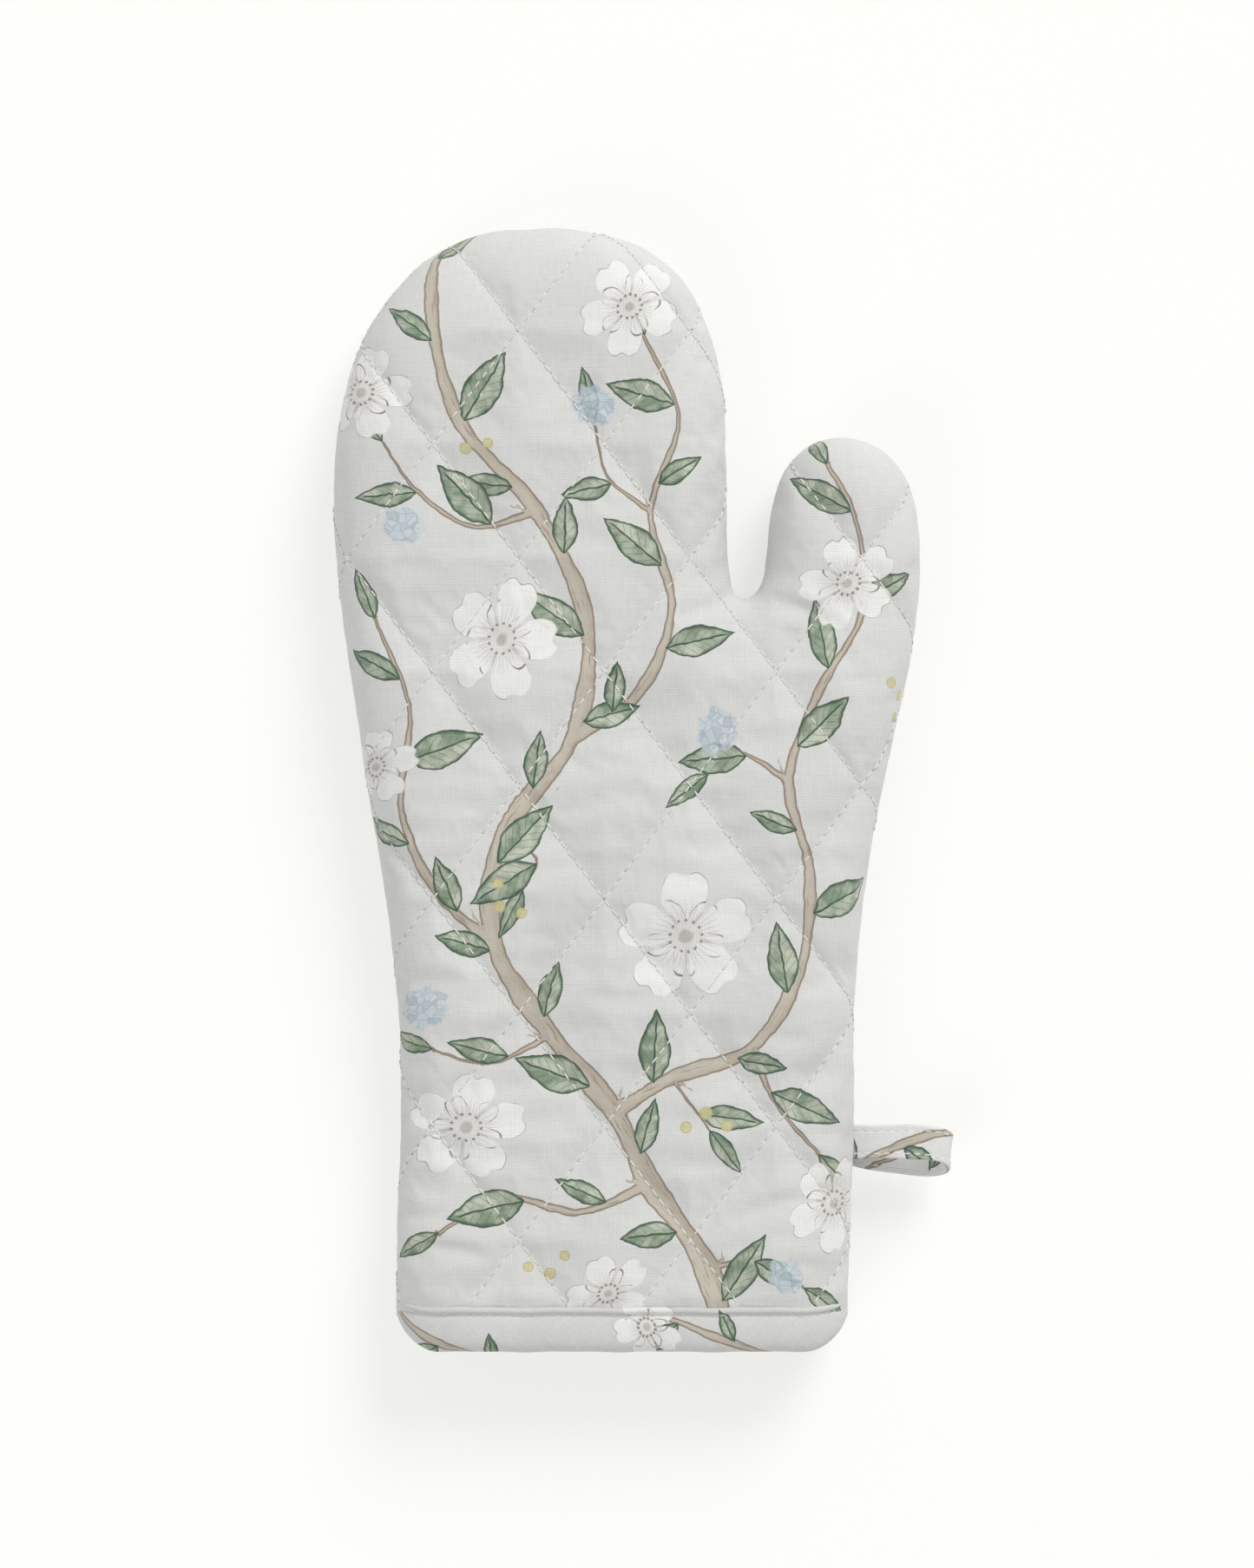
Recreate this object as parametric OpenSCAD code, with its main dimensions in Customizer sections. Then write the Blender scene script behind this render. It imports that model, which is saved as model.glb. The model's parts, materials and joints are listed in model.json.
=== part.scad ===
// Quilted oven mitt, lying on its back panel.
// Two quilted panels (printed shell, batting, lining) are sewn together round the hand and
// the thumb, bound with a folded strip at the cuff, and a strip of the shell cloth caught in
// the thumb-side seam makes the hanging loop.
// +Y points to the fingertips, +X to the thumb and +Z up. The origin is on the underside,
// on the cuff's centreline at half of the mitt's length.

/* [Hand] */
// Length from the cuff's edge to the fingertips
mitt_length = 320; // [290:1:350]
// Width across the fingers
finger_width = 113; // [100:1:124]
// Distance of the fingers' middle from the cuff's centreline, to the little-finger side
finger_lean = 26.5; // [22:0.5:32]
// Width of the palm below the thumb's root
palm_width = 110; // [100:1:118]
// Distance of the palm's middle from the cuff's centreline, to the little-finger side
palm_lean = 18; // [14:0.5:22]
// Distance from the cuff's edge to the palm's middle
palm_reach = 165; // [150:1:180]
// Height of the fingers and the palm above the side seam
hand_rise = 19; // [15:0.5:24]

/* [Thumb] */
// Width of the thumb
thumb_width = 43.5; // [36:0.5:50]
// Distance from the cuff's edge to the thumb's tip
thumb_reach = 259.5; // [245:0.5:275]
// Distance of the thumb's middle from the cuff's centreline
thumb_out = 63.5; // [62:0.5:70]
// Width of the thumb's root, where it leaves the palm
thumb_root_width = 60; // [50:1:70]
// Distance from the cuff's edge to the middle of the thumb's root
thumb_root_reach = 150; // [140:1:165]
// Distance from the cuff's edge to the crotch between hand and thumb
crotch_reach = 213; // [205:0.5:222]
// Height of the thumb above the side seam
thumb_rise = 17; // [13:0.5:21]

/* [Cuff] */
// Width of the cuff, laid flat
cuff_width = 130; // [116:1:144]
// Length of the straight part of the cuff
cuff_length = 96; // [80:1:110]
// Height of the cuff above the side seam
cuff_rise = 16; // [13:0.5:20]
// Height of the side seam above the table
seam_height = 14; // [12:0.5:17]

/* [Layers] */
// Thickness of the printed shell cloth
shell_cloth = 0.8; // [0.5:0.1:1.2]
// Thickness of the batting
batting = 3.8; // [3:0.1:5]
// Thickness of the lining cloth
lining_cloth = 0.7; // [0.5:0.1:1]
// Thickness of the batting where the seam squeezes it
squeezed_batting = 1.1; // [0.6:0.1:2]
// Width of the seam allowance inside the lining
seam_allowance = 3.4; // [2:0.1:5]

/* [Stitching] */
// Distance between quilting rows
quilt_pitch = 38.8; // [30:0.1:50]
// Angle of the quilting rows from the cuff's edge
quilt_angle = 53; // [40:1:60]
// A point where two quilting rows cross: distance from the cuff's centreline
quilt_cross_out = 19.3; // [0:0.1:40]
// The same point's distance from the cuff's edge
quilt_cross_reach = 160.7; // [120:0.1:200]
// Depth of the valleys that the front panel's rows pull between the puffs
quilt_depth = 1.9; // [1:0.1:2.2]
// Width of a valley, from one puff's crown to the next
quilt_valley = 18; // [12:1:22]
// Width of a row of thread
thread_width = 0.6; // [0.4:0.1:1]
// Depth that a row of thread sinks in the cloth
thread_sink = 0.3; // [0.2:0.05:0.4]
// Thickness of the overlocking on the raw edges
overlock = 0.5; // [0.3:0.1:0.8]
// Width of the overlocking on the raw edges
overlock_width = 2; // [1.4:0.1:2]

/* [Binding] */
// Height of the binding on the cuff
binding_height = 13; // [10:0.5:18]
// Thickness of the folded binding strip
binding_cloth = 1; // [0.6:0.1:1.4]
// Height that the binding stands proud of the shell cloth
binding_proud = 0.4; // [0:0.1:0.8]
// Distance of the binding's stitching below its folded edge
binding_stitch_drop = 2.3; // [1.5:0.1:4]

/* [Hanging loop] */
// Length of the loop from the side seam to its end
loop_length = 28.5; // [22:0.5:40]
// Width of the folded strip
loop_width = 10; // [8:0.5:14]
// Thickness of the folded strip, four layers of cloth
loop_cloth = 1.2; // [0.8:0.1:1.6]
// Height of the gap between the loop's two runs
loop_gap = 9; // [7:0.5:12]
// Twist of the loop's end about its own length
loop_twist = 14; // [0:1:16]
// Distance from the cuff's edge to the loop's middle
loop_reach = 57.5; // [45:0.5:75]
// Space between the loop's turning end and the seam
loop_clearance = 0.3; // [0.2:0.1:0.6]

/* [Hidden] */

FRONT = 1;
BACK = -1;

print_cloth = [0.84, 0.84, 0.82];
lining_white = [0.93, 0.92, 0.88];
batting_white = [0.97, 0.97, 0.95];
thread_white = [0.96, 0.96, 0.94];

// Roundness of the rising edge: 2 is an ellipse, more is fuller. The crown inside it is flat.
fullness = 2.6;
crown_angle = 62;
rise_steps = 3;
edge_steps = 2;
round_fn = 24;
cuff_rise_steps = 6;
cuff_edge_steps = 3;

wall = shell_cloth + batting + lining_cloth;
raw_edge = wall + seam_allowance;
cuff_half = cuff_width / 2;
// Depths of the layers' faces below the outer face, from outside to inside.
depths = [0, shell_cloth, shell_cloth + batting, wall];
// Heights of the turned-in edges' faces above the seam's plane, in the same order.
edge_heights = [0, shell_cloth, shell_cloth + squeezed_batting,
                shell_cloth + squeezed_batting + lining_cloth];
// The panels stop inside the binding's fold, reach their full thickness above it, and their
// turned-in edges stop above that.
panel_start = binding_cloth;
full_start = binding_height + 1.6;
edge_start = binding_height + 2;
web_foot = 2;
web_drop = 3;
// Where one length of the form runs into the next it lies this far inside it.
end_inset = 0.15;
// How much lower the undersides are made before they are all cut level at once.
foot_cut = 1.5;
slice = 0.2;
past = 20;
far = 2 * mitt_length;

// ---------- outer form ----------

// A cross-section's rounded foot: from its side down to its underside, in straight steps.
function foot_line(side, r, steps) =
    [for (s = [1 : steps]) let (t = 90 * s / steps) [side - r * (1 - cos(t)), -r * sin(t)]];

// The same line cut off at a level below the seam's plane.
function cut_line(side, line, level) =
    let (kept = [for (p = line) if (p[1] > -level) p],
         a = len(kept) == 0 ? [side, 0] : kept[len(kept) - 1],
         b = line[len(kept)])
    concat(kept, [[a[0] + (b[0] - a[0]) * (level + a[1]) / (a[1] - b[1]), -level]]);

// Right half of a cross-section: a dome above the seam's plane, a flat foot below it.
// i is how far the face lies below the outer face. The foot is cut off level, or is left
// reaching foot_cut further down, to be cut off later.
function half_section(radius, rise, drop, i, level, up = rise_steps, down = edge_steps) =
    let (line = foot_line(radius - i, drop + foot_cut - i, down))
    concat(
        [[0, rise - i]],
        [for (s = [0 : up])
            let (t = crown_angle * (1 - s / up))
            [(radius - i) * pow(cos(t), 2 / fullness),
             (rise - i) * pow(sin(t) / sin(crown_angle), 2 / fullness)]],
        level ? cut_line(radius - i, line, drop - i) : line,
        [[0, level ? i - drop : i - drop - foot_cut]]);

function mirrored(points) = [for (k = [len(points) - 1 : -1 : 0]) [-points[k][0], points[k][1]]];

// A round cushion of the form: centre, radius, rise above the seam's plane, and how high
// its underside is above the table.
module pebble(x, y, radius, rise, i, foot = 0) {
    translate([x, y, seam_height])
        rotate_extrude($fn = round_fn)
            polygon(half_section(radius, rise, seam_height - foot, i, false));
}

module fingers(i) {
    pebble(-finger_lean, mitt_length - finger_width / 2, finger_width / 2, hand_rise, i);
}

module palm(i) {
    pebble(-palm_lean, palm_reach, palm_width / 2, hand_rise, i);
}

module thumb_tip(i) {
    pebble(thumb_out, thumb_reach - thumb_width / 2, thumb_width / 2, thumb_rise, i);
}

// The thumb keeps its width down to the crotch.
neck_lean = 0.5;

module thumb_neck(i) {
    pebble(thumb_out - neck_lean, crotch_reach, thumb_width / 2, thumb_rise, i);
}

root_lean = 19.5;

module thumb_root(i) {
    pebble(thumb_out - root_lean, thumb_root_reach, thumb_root_width / 2, thumb_rise, i);
}

// The web of cloth that closes the crotch.
web_radius = 23;
web_middle = (thumb_out - finger_lean) / 2 + 18;

module web(i) {
    pebble(web_middle, crotch_reach - web_radius, web_radius, thumb_rise - web_drop, i,
           web_foot);
}

// The cuff's cross-section, drawn across X with its height along Y.
module cuff_section(i, proud = 0, level = true) {
    half = half_section(cuff_half + proud, cuff_rise + proud, seam_height, i, level,
                        cuff_rise_steps, cuff_edge_steps);
    polygon(concat(half, mirrored([for (k = [1 : len(half) - 2]) half[k]])));
}

// The cuff from one distance to another from its edge.
module cuff_tube(i, from, to, level = true) {
    translate([0, to, seam_height])
        rotate([90, 0, 0])
            linear_extrude(to - from)
                cuff_section(i, 0, level);
}

// The cuff's end, where the hand and the thumb grow out of it, a little inside its faces.
module cuff_end(i) {
    cuff_tube(i + end_inset, cuff_length - 2 * slice, cuff_length - slice, false);
}

// Everything above the binding, with its underside not yet cut level.
module body(i) {
    cuff_tube(i, full_start, cuff_length, false);
    hull() {
        palm(i);
        cuff_end(i);
    }
    hull() {
        fingers(i);
        palm(i);
    }
    hull() {
        thumb_tip(i);
        thumb_neck(i);
    }
    hull() {
        thumb_neck(i);
        thumb_root(i);
    }
    hull() {
        thumb_root(i);
        cuff_end(i);
    }
    hull() {
        web(i);
        palm(i);
    }
    hull() {
        web(i);
        thumb_root(i);
    }
}

// The whole mitt's form, i below its outer face, from a distance from the cuff's edge.
// The binding squeezes the cuff by its own thickness.
module form(i, from = panel_start) {
    cuff_tube(i + binding_cloth, from, binding_height);
    hull() {
        cuff_tube(i + binding_cloth + end_inset, binding_height - slice, binding_height);
        cuff_tube(i + end_inset, full_start, full_start + slice);
    }
    intersection() {
        body(i);
        translate([-far / 2, -far / 2, i])
            cube([far, 2 * far, far]);
    }
}

// Between two depths below the outer face.
module skin(outer, inner, from = panel_start) {
    difference() {
        form(outer, from);
        form(inner, from - past);
    }
}

// The same outline seen from above, i inside the outer edge.
module disc(x, y, radius, i) {
    translate([x, y])
        circle(r = radius - i, $fn = round_fn);
}

module cuff_strip(i, from, to) {
    translate([i - cuff_half, from])
        square([2 * (cuff_half - i), to - from]);
}

module outline(i) {
    cuff_strip(i, edge_start, cuff_length);
    hull() {
        cuff_strip(i + end_inset, cuff_length - 2 * slice, cuff_length - slice);
        disc(-palm_lean, palm_reach, palm_width / 2, i);
    }
    hull() {
        disc(-finger_lean, mitt_length - finger_width / 2, finger_width / 2, i);
        disc(-palm_lean, palm_reach, palm_width / 2, i);
    }
    hull() {
        disc(thumb_out, thumb_reach - thumb_width / 2, thumb_width / 2, i);
        disc(thumb_out - neck_lean, crotch_reach, thumb_width / 2, i);
    }
    hull() {
        disc(thumb_out - neck_lean, crotch_reach, thumb_width / 2, i);
        disc(thumb_out - root_lean, thumb_root_reach, thumb_root_width / 2, i);
    }
    hull() {
        disc(thumb_out - root_lean, thumb_root_reach, thumb_root_width / 2, i);
        cuff_strip(i + end_inset, cuff_length - 2 * slice, cuff_length - slice);
    }
    hull() {
        disc(web_middle, crotch_reach - web_radius, web_radius, i);
        disc(-palm_lean, palm_reach, palm_width / 2, i);
    }
    hull() {
        disc(web_middle, crotch_reach - web_radius, web_radius, i);
        disc(thumb_out - root_lean, thumb_root_reach, thumb_root_width / 2, i);
    }
}

// Everything from one height to another above the seam's plane, on one side of it.
module slab(side, low, high) {
    translate([-far / 2, -far / 2, seam_height + (side == FRONT ? low : -high)])
        cube([far, 2 * far, high - low]);
}

// ---------- layers ----------

// One panel's form: the front one's outer cloth and batting have the quilting's valleys.
module panel_form(side, i, from = panel_start) {
    if (side == FRONT && i < wall - lining_cloth - slice)
        puffed_form(i, from);
    else
        form(i, from);
}

// One layer of one panel: its dome, and its edge turned in along the side seam.
// Under the binding the turned-in edge ends flush with the lining.
module layer(side, k) {
    difference() {
        intersection() {
            panel_form(side, depths[k]);
            slab(side, edge_heights[k], far);
        }
        intersection() {
            panel_form(side, depths[k + 1], panel_start - past);
            slab(side, edge_heights[k + 1], far);
        }
        intersection() {
            form(wall, panel_start - past);
            translate([-far / 2, -far, 0])
                cube([far, far + edge_start, far]);
        }
        intersection() {
            slab(side, -past, edge_heights[k + 1] + slice);
            linear_extrude(far)
                outline(raw_edge);
        }
        loop_tails(slice);
    }
}

// ---------- quilting ----------

rows = ceil(far / quilt_pitch / 2);

// Upright walls along the quilting rows, in both directions.
module quilting_rows() {
    for (way = [-1, 1], k = [-rows : rows])
        translate([quilt_cross_out, quilt_cross_reach, 0])
            rotate([0, 0, way * quilt_angle])
                translate([-far / 2, k * quilt_pitch - thread_width / 2, 0])
                    cube([far, thread_width, far]);
}

// The crown is level across this share of a cross-section.
crown_share = pow(cos(crown_angle), 2 / fullness);
hand_side = crown_share * palm_width / 2 - palm_lean;
thumb_side = thumb_out - root_lean - crown_share * thumb_root_width / 2;
hand_level = palm_reach - crown_share * palm_width / 2;
thumb_level = thumb_root_reach - crown_share * thumb_root_width / 2;

// The valleys run out above the binding, between these distances from the cuff's edge.
run_out_start = full_start + 3;
run_out_end = full_start + 14;

// Height above the seam's plane of the front panel's crown, raised where valleys run out.
function crown_height(x, y) =
    let (hand = lookup(y, [[cuff_length, cuff_rise], [hand_level, hand_rise]]),
         thumb = lookup(y, [[cuff_length, cuff_rise], [thumb_level, thumb_rise]]))
    lookup(x, [[hand_side, hand], [thumb_side, thumb]])
    + lookup(y, [[run_out_start, quilt_depth + 1], [run_out_end, 0]]);

function sorted(v) =
    len(v) < 2 ? v
    : let (rest = [for (k = [1 : len(v) - 1]) v[k]])
      concat(sorted([for (t = rest) if (t < v[0]) t]), [v[0]],
             sorted([for (t = rest) if (t >= v[0]) t]));

valley_past = 0.15;
// The rows of one direction lie this much less deep, so that no two valley lines meet.
cross_lift = 0.2;

// One valley's cutter: a V along a row, i below the place that the outer face gives it.
module valley(way, k, i) {
    c = cos(way * quilt_angle);
    s = sin(way * quilt_angle);
    // A place on the row, n to its side.
    function at(t, n) =
        [quilt_cross_out + t * c - (k * quilt_pitch + n) * s,
         quilt_cross_reach + t * s + (k * quilt_pitch + n) * c];
    function low(t, n, drop) =
        let (p = at(t, n)) [p[0], p[1], crown_height(p[0], p[1]) - drop - i];
    function high(t, n) = let (p = at(t, n)) [p[0], p[1], 2 * past];
    start = at(0, 0);
    bends = sorted(concat(
        [-far / 2, far / 2],
        [for (y = [run_out_start, run_out_end, cuff_length, thumb_level, hand_level])
            (y - start[1]) / s],
        [for (x = [hand_side, thumb_side]) (x - start[0]) / c]));
    rings = [for (t = bends)
        [high(t, quilt_valley / 2), low(t, quilt_valley / 2, -valley_past),
         low(t, 0, quilt_depth - (way > 0 ? cross_lift : 0)),
         low(t, -quilt_valley / 2, -valley_past), high(t, -quilt_valley / 2)]];
    count = len(rings);
    translate([0, 0, seam_height])
        polyhedron(
            [for (ring = rings) for (p = ring) p],
            concat(
                [[4, 3, 2, 1, 0]],
                [for (r = [0 : count - 2], c = [0 : 4])
                    let (a = 5 * r + c, b = 5 * r + (c + 1) % 5)
                    for (f = [[a, b, a + 5], [b, b + 5, a + 5]]) f],
                [[for (c = [0 : 4]) 5 * (count - 1) + c]]));
}

// The form with the quilting's valleys.
module puffed_form(i, from = panel_start) {
    difference() {
        form(i, from);
        for (way = [-1, 1], k = [-rows : rows])
            valley(way, k, i);
    }
}

// The rows stop this far above the binding.
quilt_margin = 2.2;

// Thread rows of one panel, sunk in its outer or its inner face.
module quilting(side, outer, inner) {
    intersection() {
        difference() {
            panel_form(side, outer);
            panel_form(side, inner, panel_start - past);
        }
        slab(side, overlock_reach, far);
        quilting_rows();
        translate([-far / 2, binding_height + quilt_margin, 0])
            cube(far);
    }
}

// The front panel's rows lie in its valleys; the back's are sunk in its level face.
module valley_rows() {
    quilting(FRONT, -thread_sink, 0);
}

module level_rows(proud = 0) {
    quilting(BACK, -proud, thread_sink);
}

module inner_rows(side) {
    quilting(side, wall, wall + thread_sink);
}

// ---------- side seam ----------

// The lockstitch row that joins the panels, just inside the shell cloth.
module side_seam_row() {
    intersection() {
        skin(shell_cloth, shell_cloth + thread_width);
        slab(FRONT, -thread_sink / 2, thread_sink / 2);
        translate([-far / 2, edge_start + quilt_margin, 0])
            cube(far);
    }
}

// Overlocking that wraps the raw edges of both panels' turned-in layers.
overlock_reach = edge_heights[3] + overlock;

module overlock_row() {
    difference() {
        translate([0, 0, seam_height - overlock_reach])
            linear_extrude(2 * overlock_reach)
                intersection() {
                    outline(raw_edge - overlock_width);
                    translate([-far / 2, edge_start + overlock])
                        square([far, far]);
                }
        difference() {
            slab(FRONT, -edge_heights[3], edge_heights[3]);
            linear_extrude(far)
                outline(raw_edge);
        }
        linear_extrude(far)
            difference() {
                outline(raw_edge + overlock);
                translate([-far / 2, 0])
                    square([far, edge_start + overlock]);
            }
    }
}

// ---------- binding ----------

// A ring of the cuff between two sections.
module cuff_ring(from, to) {
    translate([0, to, seam_height])
        rotate([90, 0, 0])
            linear_extrude(to - from)
                difference() {
                    children(0);
                    children(1);
                }
}

stitch_reach = binding_height - binding_stitch_drop;
bobbin_depth = wall + 2 * binding_cloth;

module topstitch_ring(proud = 0) {
    cuff_ring(stitch_reach - thread_width, stitch_reach) {
        cuff_section(-proud, binding_proud);
        cuff_section(thread_sink, binding_proud);
    }
}

module bobbin_ring(proud = 0) {
    cuff_ring(stitch_reach - thread_width, stitch_reach) {
        cuff_section(bobbin_depth - thread_sink);
        cuff_section(bobbin_depth + proud);
    }
}

// ---------- hanging loop ----------

// The runs start one above the other, a little behind the line that the loop turns on.
run_gap = 0.2;
fold_back = 1;
first_height = (loop_cloth + run_gap) / 2;
fold_radius = norm([fold_back, loop_cloth + run_gap / 2]);
hinge_x = cuff_half + loop_clearance + fold_radius;
loop_steps = 8;
tip_radius = (loop_gap + loop_cloth) / 2;
loop_run = loop_length - loop_clearance - fold_radius - tip_radius - loop_cloth / 2;

// Half of the distance between the runs' middles, at a share of the run's length.
function run_height(share) =
    first_height + (tip_radius - first_height) * (1 - cos(180 * share)) / 2;

// Middle line of the strip, from one end at the fold, round the tip, to the other end.
loop_line = concat(
    [[-fold_back, first_height]],
    [for (s = [0 : loop_steps]) [loop_run * s / loop_steps, run_height(s / loop_steps)]],
    [for (s = [1 : loop_steps - 1])
        let (t = 90 - 180 * s / loop_steps)
        [loop_run + tip_radius * cos(t), tip_radius * sin(t)]],
    [for (s = [loop_steps : -1 : 0]) [loop_run * s / loop_steps, -run_height(s / loop_steps)]],
    [[-fold_back, -first_height]]);

function unit(v) = v / norm(v);
function along(k) =
    k == 0 ? [1, 0] :
    k == len(loop_line) - 1 ? [-1, 0] :
    unit(loop_line[k + 1] - loop_line[k - 1]);
function outward(k) = [-along(k)[1], along(k)[0]];

// A point of the strip: station k, n out from the middle line, w across the strip,
// turned about the loop's length more and more towards its tip.
function strip_point(k, n, w) =
    let (p = loop_line[k] + n * outward(k),
         turn = loop_twist * min(1, max(0, p[0] / loop_run)))
    [p[0], w * cos(turn) - p[1] * sin(turn), w * sin(turn) + p[1] * cos(turn)];

// A cross-section, given as [out, across] points, swept along the strip.
module strip_sweep(section) {
    sides = len(section);
    last = sides * (len(loop_line) - 1);
    points = [for (k = [0 : len(loop_line) - 1]) for (q = section) strip_point(k, q[0], q[1])];
    walls = [for (k = [0 : len(loop_line) - 2], c = [0 : sides - 1])
        let (a = sides * k + c, b = sides * k + (c + 1) % sides)
        each [[a, b, a + sides], [b, b + sides, a + sides]]];
    ends = [[for (c = [sides - 1 : -1 : 0]) c], [for (c = [0 : sides - 1]) last + c]];
    polyhedron(points = points, faces = concat(walls, ends));
}

module at_hinge() {
    translate([hinge_x, loop_reach, seam_height])
        children();
}

// The row of stitches near the strip's folded edge lies in a groove of the same width.
strip_half = loop_width / 2;
row_from = 1.4 - strip_half;
row_to = row_from + thread_width;
strip_face = loop_cloth / 2;
row_floor = strip_face - thread_sink;

strip_section = [
    [-strip_face, -strip_half], [strip_face, -strip_half],
    [strip_face, row_from], [row_floor, row_from], [row_floor, row_to], [strip_face, row_to],
    [strip_face, strip_half], [-strip_face, strip_half]];

row_section = [
    [row_floor, row_from], [strip_face, row_from], [strip_face, row_to], [row_floor, row_to]];

// The two ends of the strip where they lie between the panels, trimmed with the raw edges.
module loop_tails(past_ends = 0) {
    translate([cuff_half - raw_edge - past_ends, loop_reach - loop_width / 2,
               seam_height - loop_cloth])
        cube([raw_edge + 2 * past_ends, loop_width, 2 * loop_cloth]);
}

// ---------- sub-parts ----------

module front_shell() {
    color(print_cloth)
        difference() {
            layer(FRONT, 0);
            side_seam_row();
        }
}

module front_batting() {
    color(batting_white)
        layer(FRONT, 1);
}

module front_lining() {
    color(lining_white)
        layer(FRONT, 2);
}

module back_shell() {
    color(print_cloth)
        difference() {
            layer(BACK, 0);
            level_rows(thread_sink);
            side_seam_row();
        }
}

module back_batting() {
    color(batting_white)
        layer(BACK, 1);
}

module back_lining() {
    color(lining_white)
        layer(BACK, 2);
}

module side_seam_thread() {
    color(thread_white)
        difference() {
            side_seam_row();
            loop_tails(slice);
        }
}

module seam_overlock_thread() {
    color(thread_white)
        overlock_row();
}

module cuff_binding() {
    color(print_cloth)
        difference() {
            union() {
                cuff_ring(0, binding_height) {
                    cuff_section(0, binding_proud);
                    cuff_section(binding_cloth);
                }
                cuff_ring(0, binding_height) {
                    cuff_section(wall + binding_cloth);
                    cuff_section(bobbin_depth);
                }
                cuff_ring(0, binding_cloth) {
                    cuff_section(0, binding_proud);
                    cuff_section(bobbin_depth);
                }
            }
            topstitch_ring(thread_sink);
            bobbin_ring(thread_sink);
        }
}

module hanging_loop() {
    color(print_cloth)
        at_hinge()
            strip_sweep(strip_section);
}

module loop_edge_stitch() {
    color(thread_white)
        at_hinge()
            strip_sweep(row_section);
}

// Everything above is drawn from the cuff's edge; the origin is at half of the length.
module placed() {
    translate([0, -mitt_length / 2, 0])
        children();
}

placed() front_shell();
placed() front_batting();
placed() front_lining();
placed() back_shell();
placed() back_batting();
placed() back_lining();
placed() color(thread_white) valley_rows();  // front_quilting_thread
placed() color(thread_white) inner_rows(FRONT);  // front_bobbin_thread
placed() color(thread_white) level_rows();  // back_quilting_thread
placed() color(thread_white) inner_rows(BACK);  // back_bobbin_thread
placed() side_seam_thread();
placed() seam_overlock_thread();
placed() cuff_binding();
placed() color(thread_white) topstitch_ring();  // binding_topstitch
placed() color(thread_white) bobbin_ring();  // binding_bobbin_thread
placed() hanging_loop();
placed() loop_edge_stitch();
placed() color(print_cloth) loop_tails();  // loop_seam_tails
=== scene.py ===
"""Quilted oven mitt with a thumb, a bound cuff and a hanging loop.

Each sub-assembly is a class that builds its pieces in the frame of the solids: +Y to the
fingertips, +X to the thumb, +Z up. Sizes inside the classes are in millimetres, and meshes
are made in metres.
"""

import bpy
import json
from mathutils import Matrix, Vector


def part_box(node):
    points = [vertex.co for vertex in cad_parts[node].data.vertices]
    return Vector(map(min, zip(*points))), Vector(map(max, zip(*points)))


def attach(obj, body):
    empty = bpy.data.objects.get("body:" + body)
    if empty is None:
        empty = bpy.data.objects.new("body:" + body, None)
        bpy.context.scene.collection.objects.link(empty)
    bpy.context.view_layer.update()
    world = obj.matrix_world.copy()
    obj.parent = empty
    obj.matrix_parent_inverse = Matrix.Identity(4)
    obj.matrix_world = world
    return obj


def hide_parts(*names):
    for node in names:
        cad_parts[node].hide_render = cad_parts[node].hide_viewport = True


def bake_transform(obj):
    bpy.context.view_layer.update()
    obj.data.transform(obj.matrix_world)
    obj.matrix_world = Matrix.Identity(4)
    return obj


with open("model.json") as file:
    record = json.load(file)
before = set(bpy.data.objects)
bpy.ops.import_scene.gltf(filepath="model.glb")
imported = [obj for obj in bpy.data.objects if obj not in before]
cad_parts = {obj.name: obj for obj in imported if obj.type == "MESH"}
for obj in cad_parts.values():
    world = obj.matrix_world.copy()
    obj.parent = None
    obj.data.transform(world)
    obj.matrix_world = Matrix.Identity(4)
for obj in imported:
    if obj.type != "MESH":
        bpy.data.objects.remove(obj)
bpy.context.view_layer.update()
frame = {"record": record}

import json
import logging
import math
from dataclasses import dataclass, field
from enum import Enum

import bmesh
import bpy
import numpy as np
from mathutils import Vector
from mathutils import geometry as planar
from mathutils import noise
from mathutils.bvhtree import BVHTree

LOG = logging.getLogger("oven_mitt")
MM = 0.001

Array = np.ndarray
Piece = bpy.types.Object
Socket = bpy.types.NodeSocket
Tree = bpy.types.NodeTree


class Side(Enum):
    """Which of the two quilted panels a piece belongs to."""

    FRONT = "front"
    BACK = "back"

    @property
    def up(self) -> float:
        """Sign of the panel's outward direction along Z."""
        return 1.0 if self is Side.FRONT else -1.0


# --- small geometry helpers ---


def ease(value: Array, low: float, high: float) -> Array:
    """Smooth step from 0 at low to 1 at high.

    Args:
        value: Numbers to place between the two ends.
        low: Value that gives 0.
        high: Value that gives 1.

    Returns:
        The eased share for each number.
    """
    t = np.clip((np.asarray(value, float) - low) / (high - low), 0.0, 1.0)
    return t * t * (3.0 - 2.0 * t)


def wander(points: Array, scale: tuple[float, float], seed: float) -> Array:
    """Smooth noise over flat places.

    Args:
        points: Flat places in mm, one row each.
        scale: Size of a wave across and along, in mm.
        seed: Picks the pattern.

    Returns:
        One number from about -1 to 1 for each place.
    """
    return np.array(
        [noise.noise(Vector((x / scale[0], y / scale[1], seed))) for x, y in points[:, :2]]
    )


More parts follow.
